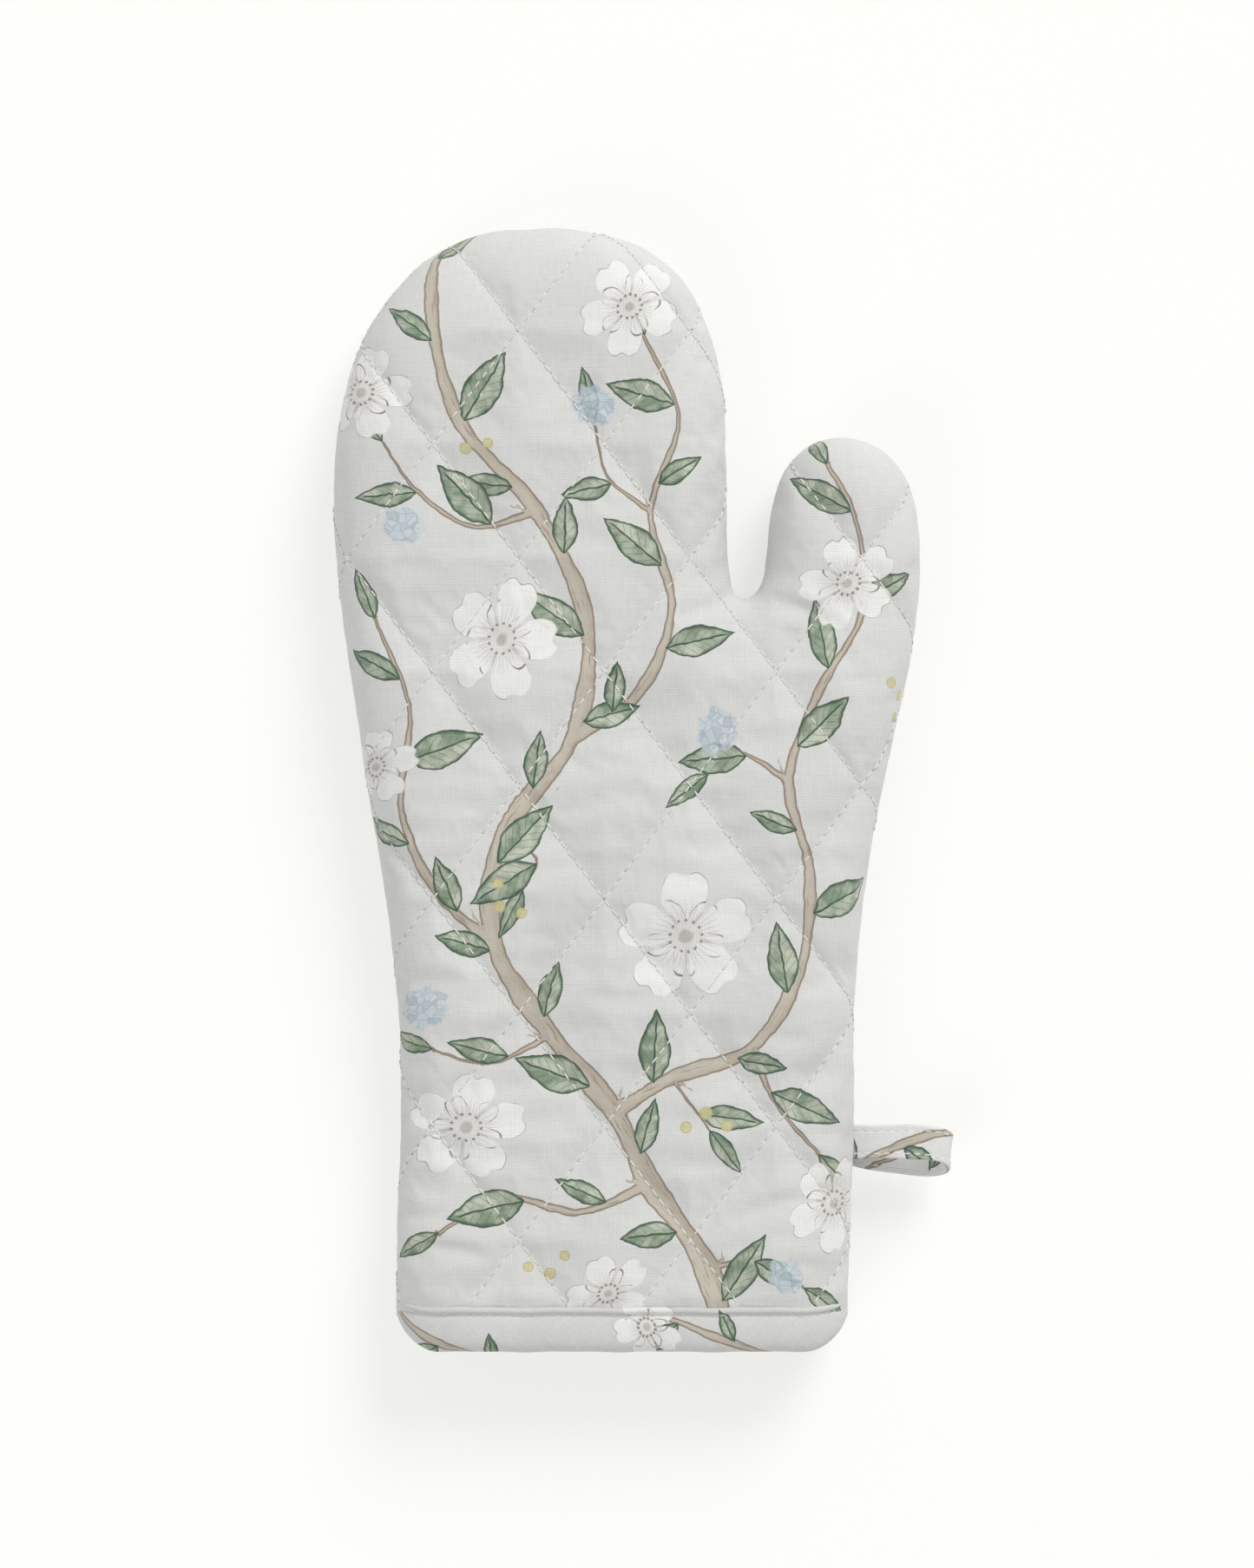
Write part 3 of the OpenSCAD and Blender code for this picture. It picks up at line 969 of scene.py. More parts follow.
@dataclass
class Effects:
    """Node groups that more than one finish uses."""

    weave: Tree = field(init=False)
    mottle: Tree = field(init=False)

    def __post_init__(self) -> None:
        """Builds each group once."""
        self.weave = self.make_weave()
        self.mottle = self.make_mottle()

    def make_weave(self) -> Tree:
        """Makes a plain weave: threads that go over and under, with slubs along them.

        Returns:
            The node group.
        """
        n, take = new_group(
            "Plain weave",
            [("Map", "Vector", None), ("Pitch", "Float", 0.45), ("Slub", "Float", 0.5)],
            [("Height", "Float"), ("Tone", "Float")],
        )
        place = n.vector("DIVIDE", take["Map"], take["Pitch"])
        uneven = n.noise(place, (0.15, 0.15, 0.15)).node.outputs["Color"]
        shift = n.vector("MULTIPLY", uneven, (0.9, 0.9, 0.0))
        split = n.add("ShaderNodeSeparateXYZ")
        n.feed(split.inputs[0], n.vector("ADD", place, shift))
        x, y = split.outputs[0], split.outputs[1]
        sx = n.math("SINE", n.times(x, math.pi))
        sy = n.math("SINE", n.times(y, math.pi))
        over = n.step(n.times(sx, sy), -0.15, 0.15)
        warp, weft = n.math("ABSOLUTE", sx), n.math("ABSOLUTE", sy)
        height = n.plus(n.times(warp, over), n.times(weft, n.minus(1.0, over)))
        long_x = n.noise(place, (0.05, 1.0, 1.0), 1.0)
        long_y = n.noise(place, (1.0, 0.07, 1.0), 1.0)
        slub = n.minus(n.plus(long_x, long_y), 1.0)
        slub = n.times(slub, take["Slub"])
        # The tone is darker where the threads lie low: painted shade between the threads. The slub
        # is random tone.
        shade = n.times(n.minus(height, 0.64), 0.34)
        tone = n.plus(n.plus(1.0, shade), slub)
        return n.give(Height=n.plus(height, n.times(slub, 1.5)), Tone=tone)

    def make_mottle(self) -> Tree:
        """Makes the slow uneven tone of washed cloth.

        Returns:
            The node group.
        """
        n, take = new_group(
            "Washed tone",
            [("Map", "Vector", None), ("Strength", "Float", 0.05)],
            [("Tone", "Float")],
        )
        wide = n.noise(take["Map"], (0.03, 0.03, 0.03), 3.0)
        fine = n.noise(take["Map"], (0.6, 0.6, 0.6), 2.0)
        both = n.plus(n.minus(wide, 0.5), n.times(fine, 0.35))
        tone = n.times(n.minus(both, 0.17), take["Strength"])
        return n.give(Tone=n.plus(1.0, tone))


def flat_map(n: Nodes, span: Array) -> Socket:
    """The cloth's own flat place in mm, from its map.

    Args:
        n: The material's nodes.
        span: The flat size of the whole map in mm.

    Returns:
        The flat place.
    """
    uv = n.add("ShaderNodeUVMap", uv_map="OFBake")
    return n.vector("MULTIPLY", uv.outputs[0], (float(span[0]), float(span[1]), 0.0))


@dataclass(frozen=True)
class Cotton:
    """Matte plain-weave cotton in one ground colour."""

    name: str
    ground: tuple[float, float, float]
    pitch: float = 0.45
    slub: float = 0.13
    roughness: float = 0.88
    sheen: float = 0.18
    relief: float = 0.4
    turn: float = 0.0

    def make(self, effects: Effects, span: Array) -> bpy.types.Material:
        """Makes the material.

        Args:
            effects: The shared node groups.
            span: The flat size of the piece's map in mm.

        Returns:
            The material.
        """
        material, n, shader = new_material(self.name)
        place = flat_map(n, span)
        if self.turn:
            spin = n.add("ShaderNodeVectorRotate", rotation_type="Z_AXIS")
            n.feed(spin.inputs["Vector"], place)
            spin.inputs["Angle"].default_value = self.turn
            place = spin.outputs[0]
        weave = n.group(effects.weave, Map=place, Pitch=self.pitch, Slub=self.slub)
        tone = n.group(effects.mottle, Map=place, Strength=0.16).outputs["Tone"]
        shade = n.times(weave.outputs["Tone"], tone)
        colour = n.vector("MULTIPLY", self.paint(n, place), shade)
        n.feed(shader.inputs["Base Color"], colour)
        shader.inputs["Roughness"].default_value = self.roughness
        shader.inputs["Specular IOR Level"].default_value = 0.25
        shader.inputs["Sheen Weight"].default_value = self.sheen
        shader.inputs["Sheen Roughness"].default_value = 0.6
        bump = n.add("ShaderNodeBump")
        bump.inputs["Distance"].default_value = 0.00012
        bump.inputs["Strength"].default_value = self.relief
        n.feed(bump.inputs["Height"], weave.outputs["Height"])
        n.feed(shader.inputs["Normal"], bump.outputs[0])
        return material

    def paint(self, n: Nodes, place: object) -> object:
        """The cloth's colour before its weave shows in it."""
        return self.ground


def new_material(name: str) -> tuple[bpy.types.Material, Nodes, bpy.types.Node]:
    """Starts a material with a Principled shader.

    Args:
        name: The material's name.

    Returns:
        The material, its nodes and the shader node.
    """
    material = bpy.data.materials.new(name)
    material.use_nodes = True
    n = Nodes(material.node_tree)
    shader = next(k for k in material.node_tree.nodes if k.type == "BSDF_PRINCIPLED")
    return material, n, shader


@dataclass(frozen=True)
class Thread:
    """Spun sewing thread: two plies twisted together."""

    name: str
    colour: tuple[float, float, float]
    roughness: float = 0.7

    def make(self) -> bpy.types.Material:
        """Makes the material.

        Returns:
            The sewing thread's material.
        """
        material, n, shader = new_material(self.name)
        place = n.add("ShaderNodeTexCoord").outputs["Object"]
        fine = n.noise(place, (2600.0, 2600.0, 2600.0), 1.0)
        dark = tuple(c * 0.82 for c in self.colour)
        colour = n.mix(n.step(fine, 0.3, 0.62), (*dark, 1.0), (*self.colour, 1.0))
        n.feed(shader.inputs["Base Color"], colour)
        shader.inputs["Roughness"].default_value = self.roughness
        shader.inputs["Sheen Weight"].default_value = 0.2
        bump = n.add("ShaderNodeBump")
        bump.inputs["Distance"].default_value = 0.0001
        bump.inputs["Strength"].default_value = 0.3
        n.feed(bump.inputs["Height"], fine)
        n.feed(shader.inputs["Normal"], bump.outputs[0])
        return material


def dress(piece: Piece, material: bpy.types.Material) -> None:
    """Gives a piece its one material and its slot, and reports it.

    Args:
        piece: The piece to dress.
        material: Its material.
    """
    piece.data.materials.clear()
    piece.data.materials.append(material)
    LOG.info("%s in %s: %d faces", piece.name, material.name, len(piece.data.polygons))


# --- printed pattern ---


class Motif(Enum):
    """Kinds of printed motif, with how far each reaches past its size."""

    LEAF = ("leaf", 1.1, 0.62)
    BLOSSOM = ("blossom", 1.12, 1.12)
    HEAD = ("head", 1.3, 1.3)
    BERRY = ("berry", 1.2, 1.2)

    def __init__(self, label: str, reach: float, breadth: float) -> None:
        """Keeps the motif's name and its reach along and across itself."""
        self.label, self.reach, self.breadth = label, reach, breadth


@dataclass(frozen=True)
class Mark:
    """One printed motif: where it lies, its size in mm, its turn and how foreshortened."""

    motif: Motif
    place: tuple[float, float]
    size: float
    turn: float = 0.0
    flat: float = 1.0

    def local(self, flat: Array) -> Array:
        """Sees flat places from the motif.

        Args:
            flat: Flat places in mm, one row each.

        Returns:
            Places along the motif and across it, in mm.
        """
        c, s = math.cos(math.radians(self.turn)), math.sin(math.radians(self.turn))
        x, y = flat[:, 0] - self.place[0], flat[:, 1] - self.place[1]
        return np.stack([c * x + s * y, (c * y - s * x) / self.flat], axis=1)

    def covers(self, local: Array, margin: float) -> Array:
        """Finds which places lie within the motif's reach and a margin.

        Args:
            local: Places along and across the motif, in mm.
            margin: The margin in mm.

        Returns:
            True for each place within reach.
        """
        return (np.abs(local[:, 0]) < self.size * self.motif.reach + margin) & (
            np.abs(local[:, 1]) < self.size * self.motif.breadth + margin / self.flat
        )


@dataclass(frozen=True)
class Stem:
    """A printed stem: a curve that thins from its start to its end."""

    points: tuple[tuple[float, float], ...]
    start: float
    end: float = 0.5

    def curve(self) -> Array:
        """Places along the stem, 1 mm apart."""
        return through(list(self.points), 1.0)


@dataclass
class Pattern:
    """A generic flowering-branch print: stems, leaves, blossoms and berries."""

    stems: tuple[Stem, ...]
    marks: tuple[Mark, ...]
    leaf_gap: float = 24.0
    leaf_size: float = 9.4

    LAYERS = (("leaf", 3), ("blossom", 2), ("head", 1), ("berry", 2))

    def leaves(self) -> list[Mark]:
        """Sets leaves in turn on either side of each stem, and one at its tip.

        Returns:
            The leaves.
        """
        found = []
        for number, stem in enumerate(self.stems):
            curve = stem.curve()
            heading = np.degrees(np.arctan2(*np.gradient(curve, axis=0).T[::-1]))
            stops = np.arange(self.leaf_gap * 0.55, len(curve) - 6.0, self.leaf_gap)
            for k, stop in enumerate(stops.astype(int)):
                wave = math.sin(number * 2.3 + k * 1.7)
                side = 1.0 if (k + number) % 2 else -1.0
                turn = heading[stop] + side * (44.0 + 16.0 * wave)
                size = self.leaf_size * (1.0 + 0.22 * math.cos(number + k * 2.1))
                thick = stem.start + (stem.end - stem.start) * stop / len(curve)
                out = np.array([math.cos(math.radians(turn)), math.sin(math.radians(turn))])
                place = curve[stop] + out * (size + 0.6 * thick)
                found.append(Mark(Motif.LEAF, tuple(place), size, turn, 0.86 + 0.2 * abs(wave)))
            turn = heading[-1]
            out = np.array([math.cos(math.radians(turn)), math.sin(math.radians(turn))])
            tip = curve[-1] + out * self.leaf_size * 0.8
            found.append(Mark(Motif.LEAF, tuple(tip), self.leaf_size * 0.85, turn, 0.8))
        return found

    def draw_stems(self, flat: Array) -> Array:
        """Signed distance to the nearest stem, how far along it, and its half width.

        Args:
            flat: Flat places in mm.

        Returns:
            Three numbers for each place; the half width is 0 away from every stem.
        """
        best = np.full(len(flat), 1e9)
        out = np.zeros((len(flat), 3))
        for stem in self.stems:
            curve = stem.curve()
            low, high = curve.min(0) - 8.0, curve.max(0) + 8.0
            near = np.nonzero(((flat[:, :2] > low) & (flat[:, :2] < high)).all(1))[0]
            if not len(near):
                continue
            gap, along = to_polyline(flat[near], curve)
            spot = np.minimum(along.round().astype(int), len(curve) - 1)
            right = side_of(curve)[spot]
            sign = np.sign(((flat[near, :2] - curve[spot]) * right).sum(1))
            half = stem.start + (stem.end - stem.start) * along / len(curve)
            half = half * (1.0 + 0.16 * np.sin(along / 5.0 + stem.start))
            beyond = (spot >= len(curve) - 1) & (gap > 0.8)
            edge = gap - half
            take = (edge < best[near]) & (edge < 2.2) & ~beyond
            rows = near[take]
            best[rows] = edge[take]
            out[rows] = np.column_stack([gap * sign, along, half])[take]
        return out

    def draw_marks(self, flat: Array) -> dict[str, Array]:
        """Each motif's own places, on as many layers as keep the motifs apart.

        Args:
            flat: Flat places in mm.

        Returns:
            For each layer, places along and across the nearest motif and its size.
        """
        drawn = {
            f"{label}_{k}": np.zeros((len(flat), 3)) for label, count in self.LAYERS
            for k in range(count)
        }
        used = {name: np.zeros(len(flat), bool) for name in drawn}
        for mark in (*self.leaves(), *self.marks):
            local = mark.local(flat)
            covered = mark.covers(local, 1.4)
            if not covered.any():
                continue
            wide = mark.covers(local, 3.2)
            count = dict(self.LAYERS)[mark.motif.label]
            for k in range(count):
                name = f"{mark.motif.label}_{k}"
                if not (wide & used[name]).any():
                    drawn[name][covered] = np.column_stack(
                        [local[covered], np.full(covered.sum(), mark.size)]
                    )
                    used[name] |= covered
                    break
        return drawn

    def lay(self, piece: Piece, flat: Array) -> None:
        """Stores the print on a piece.

        Args:
            piece: The piece that carries the print.
            flat: Each corner's flat place on the cloth, in mm.
        """
        put_numbers(piece, "stem", self.draw_stems(flat))
        for name, values in self.draw_marks(flat).items():
            put_numbers(piece, name, values)


def posy(x: float, y: float, size: float, flat: float = 0.85) -> tuple[Mark, ...]:
    """A head of small blue florets."""
    return (Mark(Motif.HEAD, (x, y), size, 3.0 * x, flat),)


def sprig(x: float, y: float, size: float, turn: float) -> tuple[Mark, ...]:
    """Sets three berries in a loose bunch.

    Args:
        x: The bunch's middle, in mm.
        y: The bunch's middle, in mm.
        size: A berry's radius in mm.
        turn: The bunch's turn in radians.

    Returns:
        The berries.
    """
    return tuple(
        Mark(
            Motif.BERRY,
            (x + 3.6 * size * math.cos(turn + k * 1.2), y + 3.6 * size * math.sin(turn + k * 1.2)),
            size * (1.0 + 0.12 * (k % 2)),
        )
        for k in range(3)
    )


FRONT_PATTERN = Pattern(
    stems=(
        Stem(((30, -160), (24, -136), (8, -112), (-2, -92), (-20, -70), (-36, -44), (-34, -14),
              (-14, 14), (-10, 46), (-24, 78), (-46, 104), (-54, 140), (-50, 164)), 3.4, 1.7),
        Stem(((-2, -92), (14, -82), (36, -74), (50, -52), (53, -24), (47, 2), (56, 28),
              (68, 50), (66, 76), (58, 92)), 2.3, 0.7),
        Stem(((-36, -44), (-52, -30), (-62, -6), (-60, 22), (-70, 48)), 1.7, 0.5),
        Stem(((-14, 14), (4, 26), (14, 50), (8, 78), (16, 104), (6, 128)), 1.9, 0.5),
        Stem(((8, -112), (-12, -120), (-34, -116), (-52, -126)), 1.5, 0.5),
        Stem(((47, 2), (32, 10), (24, 4)), 0.9, 0.4),
        Stem(((-24, 78), (-42, 74), (-58, 84), (-68, 98)), 1.1, 0.4),
        Stem(((36, -74), (44, -90), (56, -104)), 1.1, 0.45),
        Stem(((-20, -70), (-38, -78), (-54, -74)), 0.9, 0.35),
        Stem(((8, 78), (-4, 88), (-8, 104)), 0.7, 0.35),
        Stem(((24, -136), (40, -134), (52, -142)), 0.9, 0.4),
        Stem(((14, -82), (20, -90), (25, -97)), 0.45, 0.3),
        Stem(((-34, -14), (-24, -20), (-28, -29)), 0.45, 0.3),
    ),
    marks=(
        Mark(Motif.BLOSSOM, (18, -42), 20.0, 20.0, 0.94),
        Mark(Motif.BLOSSOM, (-34, 42), 18.5, 70.0, 0.88),
        Mark(Motif.BLOSSOM, (-44, -96), 18.0, 10.0, 0.85),
        Mark(Motif.BLOSSOM, (2, 136), 16.0, 50.0, 0.86),
        Mark(Motif.BLOSSOM, (64, 58), 15.0, 35.0, 0.88),
        Mark(Motif.BLOSSOM, (-74, 112), 15.5, 0.0, 0.9),
        Mark(Motif.BLOSSOM, (60, -118), 15.0, 60.0, 0.85),
        Mark(Motif.BLOSSOM, (-70, 6), 13.5, 15.0, 0.8),
        Mark(Motif.BLOSSOM, (-4, -143), 13.5, 40.0, 0.8),
        *posy(27, 16, 7.0), *posy(-56, -62, 7.5, 0.8), *posy(-8, 108, 6.5), *posy(-62, 74, 6.0),
        *posy(46, -138, 5.5),
        *sprig(24, -98, 1.7, 0.4), *sprig(-30, -30, 1.6, 2.6), *sprig(-40, 92, 1.6, 1.2),
        *sprig(76, 24, 1.6, 5.4), *sprig(-22, -132, 1.6, 3.8),
    ),
)

BACK_PATTERN = Pattern(
    stems=(
        Stem(((-38, -160), (-32, -130), (-44, -96), (-34, -62), (-10, -38), (4, -8), (-4, 26),
              (-26, 52), (-30, 84), (-12, 112), (-8, 146)), 3.2, 1.6),
        Stem(((4, -8), (26, 0), (46, 18), (60, 42), (62, 70), (72, 92)), 2.1, 0.7),
        Stem(((-34, -62), (-12, -74), (12, -82), (34, -78), (52, -90)), 1.9, 0.5),
        Stem(((-26, 52), (-48, 60), (-64, 82), (-62, 108)), 1.6, 0.5),
        Stem(((-32, -130), (-8, -126), (16, -136), (40, -130)), 1.5, 0.5),
        Stem(((-10, -38), (-34, -30), (-54, -14), (-66, 10)), 1.4, 0.4),
        Stem(((-30, 84), (-6, 84), (12, 96), (14, 118)), 1.0, 0.4),
    ),
    marks=(
        Mark(Motif.BLOSSOM, (-22, -8), 16.5, 15.0, 0.9),
        Mark(Motif.BLOSSOM, (32, -104), 15.5, 55.0, 0.9),
        Mark(Motif.BLOSSOM, (10, 60), 15.0, 5.0, 0.86),
        Mark(Motif.BLOSSOM, (-52, 130), 15.0, 40.0, 0.9),
        Mark(Motif.BLOSSOM, (60, 60), 12.5, 30.0, 0.85),
        Mark(Motif.BLOSSOM, (-56, -112), 13.0, 65.0, 0.88),
        Mark(Motif.BLOSSOM, (46, -30), 12.0, 20.0, 0.85),
        *posy(-52, 34, 7.0), *posy(4, -104, 6.5), *posy(28, 128, 6.0),
        *sprig(-12, 132, 1.6, 0.5), *sprig(30, 34, 1.6, 3.4), *sprig(-58, -60, 1.6, 1.0),
    ),
)

STRIP_PATTERN = Pattern(
    stems=tuple(
        Stem(((x, -12), (x + 14, -4), (x + 30, 3), (x + 50, 11), (x + 66, 20)), 1.7, 0.6)
        for x in range(-150, 380, 84)
    ) + tuple(
        Stem(((x + 14, -4), (x + 24, -12), (x + 42, -14)), 0.9, 0.4)
        for x in range(-150, 380, 84)
    ),
    marks=tuple(
        Mark(Motif.BLOSSOM, (x + 4, 5), 11.5, x, 0.85) for x in range(-64, 380, 126)
    ),
    leaf_gap=17.0,
    leaf_size=6.5,
)

# --- print effects ---


@dataclass
class PrintEffects:
    """Node groups that draw the printed motifs from the places stored on a piece."""

    leaf: Tree = field(init=False)
    blossom: Tree = field(init=False)
    stem: Tree = field(init=False)
    berry: Tree = field(init=False)
    head: Tree = field(init=False)

    TAKES = [("Place", "Vector", None), ("Map", "Vector", None)]
    GIVES = [("Cover", "Float"), ("Ink", "Float"), ("Wash", "Float")]

    def __post_init__(self) -> None:
        """Builds each group once."""
        self.leaf = self.make_leaf()
        self.blossom = self.make_blossom()
        self.stem = self.make_stem()
        self.berry = self.make_berry()
        self.head = self.make_head()

    def start(self, name: str, wobble: float, waves: float) -> tuple:
        """Starts a motif's group, with its place shaken like a hand-drawn line.

        Args:
            name: The group's name.
            wobble: How far places are shaken, in mm.
            waves: Size of the shake's waves, in mm.

        Returns:
            The nodes, the split place and the flat place.
        """
        n, take = new_group(name, self.TAKES, self.GIVES)
        place = take["Map"]
        shake = n.noise(place, (1.0 / waves,) * 3, 1.0).node.outputs["Color"]
        moved = n.vector("SUBTRACT", shake, (0.5, 0.5, 0.5))
        moved = n.vector("MULTIPLY", moved, (2 * wobble, 2 * wobble, 0.0))
        split = n.add("ShaderNodeSeparateXYZ")
        n.feed(split.inputs[0], n.vector("ADD", take["Place"], moved))
        return n, split.outputs, place

    def make_leaf(self) -> Tree:
        """Makes a pointed leaf with an outline, a midrib and fine side veins.

        Returns:
            The node group.
        """
        n, (u, v, size), place = self.start("Printed leaf", 0.55, 3.0)
        safe = n.most(size, 0.01)
        t = n.math("DIVIDE", u, safe)
        lens = n.minus(1.0, n.times(t, t))
        lens = n.times(lens, n.minus(1.0, n.times(t, 0.35)))
        half = n.times(n.times(size, 0.42), lens)
        across = n.math("ABSOLUTE", v)
        edge = n.minus(half, across)
        cover = n.times(n.step(edge, -0.12, 0.14), n.step(size, 0.6, 1.5))
        wash = n.noise(place, (0.22, 0.22, 1.0), 2.0)
        rim = n.minus(1.0, n.step(edge, 0.2, n.times(wash, 2.6)))
        rib = n.minus(1.0, n.step(across, 0.12, 0.42))
        rib = n.times(rib, n.step(t, 0.92, 0.6))
        slant = n.minus(u, n.times(across, 1.1))
        beat = n.math("PINGPONG", slant, 1.35)
        vein = n.times(n.step(beat, 0.30, 0.06), n.step(across, 0.2, 0.8))
        ink = n.most(rim, rib)
        ink = n.most(ink, n.times(vein, 0.45))
        half_dark = n.times(n.step(v, -0.5, 0.5), 0.34)
        patch = n.times(n.step(wash, 0.36, 0.64), 0.55)
        return n.give(Cover=cover, Ink=n.times(ink, cover), Wash=n.plus(half_dark, patch))

    def make_blossom(self) -> Tree:
        """Makes five overlapping round petals with fine lines and a stamened heart.

        Returns:
            The node group.
        """
        n, (x, y, size), place = self.start("Printed blossom", 0.9, 5.5)
        safe = n.most(size, 0.01)
        px, py = n.math("DIVIDE", x, safe), n.math("DIVIDE", y, safe)
        r = n.radius(px, py)
        angle = n.math("ARCTAN2", py, px)
        turns = n.times(angle, 5.0 / (2.0 * math.pi))
        petal = n.minus(n.math("FRACT", n.plus(turns, 5.5)), 0.5)
        spread = n.math("ABSOLUTE", petal)
        bulge = n.minus(1.0, n.math("POWER", n.times(spread, 1.72), 3.2))
        notch = n.times(n.step(spread, 0.13, 0.0), 0.07)
        limit = n.minus(n.times(bulge, 0.98), notch)
        edge = n.times(n.minus(limit, r), safe)
        drawn = n.step(size, 0.4, 0.9)
        cover = n.times(n.step(edge, -0.15, 0.2), drawn)
        rim = n.minus(1.0, n.step(edge, 0.05, 0.62))
        wide = n.noise(place, (0.16, 0.16, 1.0))
        patchy = n.step(wide, 0.36, 0.6)
        rim = n.times(rim, n.plus(0.15, n.times(patchy, 0.75)))
        seam = n.times(n.minus(0.5, spread), r)
        seam = n.step(n.times(seam, safe), 0.30, 0.05)
        seam = n.times(seam, n.times(n.step(r, 0.16, 0.3), 0.55))
        shifted = n.minus(n.math("FRACT", n.plus(turns, 5.06)), 0.5)
        shifted = n.times(n.math("ABSOLUTE", shifted), 1.9)
        inner = n.times(n.minus(1.0, n.math("POWER", shifted, 2.6)), 0.6)
        inner = n.math("ABSOLUTE", n.times(n.minus(inner, r), safe))
        second = n.times(n.step(inner, 0.5, 0.1), n.step(r, 0.2, 0.34))
        seam = n.most(seam, n.times(second, n.step(wide, 0.42, 0.6)))
        rays = n.math("PINGPONG", n.times(turns, 7.0), 0.5)
        rays = n.times(n.step(rays, 0.16, 0.02), n.step(r, 0.62, 0.3))
        rays = n.times(rays, n.times(n.step(r, 0.1, 0.2), 0.38))
        dots = n.minus(n.math("FRACT", n.times(turns, 2.6)), 0.5)
        ring = n.times(n.minus(r, 0.235), safe)
        swing = n.times(n.times(dots, 0.48), n.times(r, safe))
        dot = n.times(n.step(n.radius(ring, swing), 0.62, 0.34), 0.85)
        heart = n.times(n.step(r, 0.13, 0.07), 0.45)
        ink = n.most(n.most(rim, seam), n.most(rays, dot))
        ink = n.most(ink, heart)
        deep = n.times(n.step(r, 0.55, 0.1), 0.5)
        wash = n.noise(place, (0.14, 0.14, 1.0), 2.0)
        return n.give(Cover=cover, Ink=n.times(ink, cover), Wash=n.plus(deep, n.times(wash, 0.5)))

    def make_head(self) -> Tree:
        """Makes a loose round head of many small florets.

        Returns:
            The node group.
        """
        n, (x, y, size), place = self.start("Printed flower head", 1.0, 4.0)
        r = n.radius(x, y)
        loose = n.noise(place, (0.3, 0.3, 1.0), 1.0)
        limit = n.times(size, n.plus(0.62, n.times(loose, 0.75)))
        edge = n.minus(limit, r)
        cover = n.times(n.step(edge, -0.3, 0.9), n.step(size, 0.6, 1.5))
        spot = n.add("ShaderNodeCombineXYZ")
        n.feed(spot.inputs[0], x)
        n.feed(spot.inputs[1], y)
        near = n.add("ShaderNodeTexVoronoi", feature="F1")
        rims = n.add("ShaderNodeTexVoronoi", feature="DISTANCE_TO_EDGE")
        for cells in (near, rims):
            n.feed(cells.inputs["Vector"], spot.outputs[0])
            cells.inputs["Scale"].default_value = 0.36
        line = n.times(n.step(rims.outputs["Distance"], 0.10, 0.02), 0.45)
        heart = n.times(n.step(near.outputs["Distance"], 0.2, 0.08), 0.5)
        tone = n.add("ShaderNodeSeparateXYZ")
        n.feed(tone.inputs[0], near.outputs["Color"])
        ink = n.times(n.most(line, heart), cover)
        return n.give(Cover=n.times(cover, 0.9), Ink=ink, Wash=tone.outputs[0])

    def make_stem(self) -> Tree:
        """Makes a stem with darker sides and streaks along it.

        Returns:
            The node group.
        """
        n, (d, along, half), place = self.start("Printed stem", 0.5, 4.0)
        across = n.math("ABSOLUTE", d)
        edge = n.minus(half, across)
        drawn = n.step(half, 0.05, 0.25)
        cover = n.times(n.step(edge, -0.2, 0.2), drawn)
        rim = n.minus(1.0, n.step(edge, 0.15, 0.85))
        grain = n.add("ShaderNodeCombineXYZ")
        n.feed(grain.inputs[0], n.times(along, 0.12))
        n.feed(grain.inputs[1], n.times(d, 1.2))
        streak = n.step(n.noise(grain.outputs[0], (1.0, 1.0, 1.0), 2.0), 0.55, 0.72)
        dark = n.times(n.step(d, -0.2, 1.6), 0.5)
        ink = n.most(rim, n.times(streak, 0.6))
        wash = n.noise(place, (0.12, 0.12, 1.0), 2.0)
        return n.give(Cover=cover, Ink=n.times(ink, cover), Wash=n.plus(dark, n.times(wash, 0.5)))

    def make_berry(self) -> Tree:
        """Makes a round berry with a darker rim.

        Returns:
            The node group.
        """
        n, (x, y, size), place = self.start("Printed berry", 0.3, 2.0)
        r = n.radius(x, y)
        edge = n.minus(size, r)
        drawn = n.step(size, 0.4, 0.9)
        cover = n.times(n.step(edge, -0.15, 0.2), drawn)
        rim = n.minus(1.0, n.step(edge, 0.1, 0.6))
        wash = n.noise(place, (0.5, 0.5, 1.0), 1.0)
        return n.give(Cover=cover, Ink=n.times(n.times(rim, 0.5), cover), Wash=wash)


@dataclass(frozen=True)
class Ink:
    """The colours of one printed motif: pale wash, deep wash and drawn line."""

    pale: tuple[float, float, float]
    deep: tuple[float, float, float]
    line: tuple[float, float, float]
    strength: float = 1.0


LEAF_INK = Ink((0.53, 0.56, 0.46), (0.18, 0.25, 0.165), (0.05, 0.10, 0.063))
STEM_INK = Ink((0.55, 0.505, 0.42), (0.43, 0.375, 0.29), (0.20, 0.135, 0.09), 0.92)
BLOSSOM_INK = Ink((0.85, 0.85, 0.83), (0.66, 0.655, 0.63), (0.22, 0.16, 0.135), 0.92)
HEAD_INK = Ink((0.62, 0.68, 0.71), (0.40, 0.50, 0.56), (0.24, 0.32, 0.38), 0.9)
BERRY_INK = Ink((0.66, 0.62, 0.36), (0.52, 0.47, 0.22), (0.34, 0.29, 0.13), 0.9)


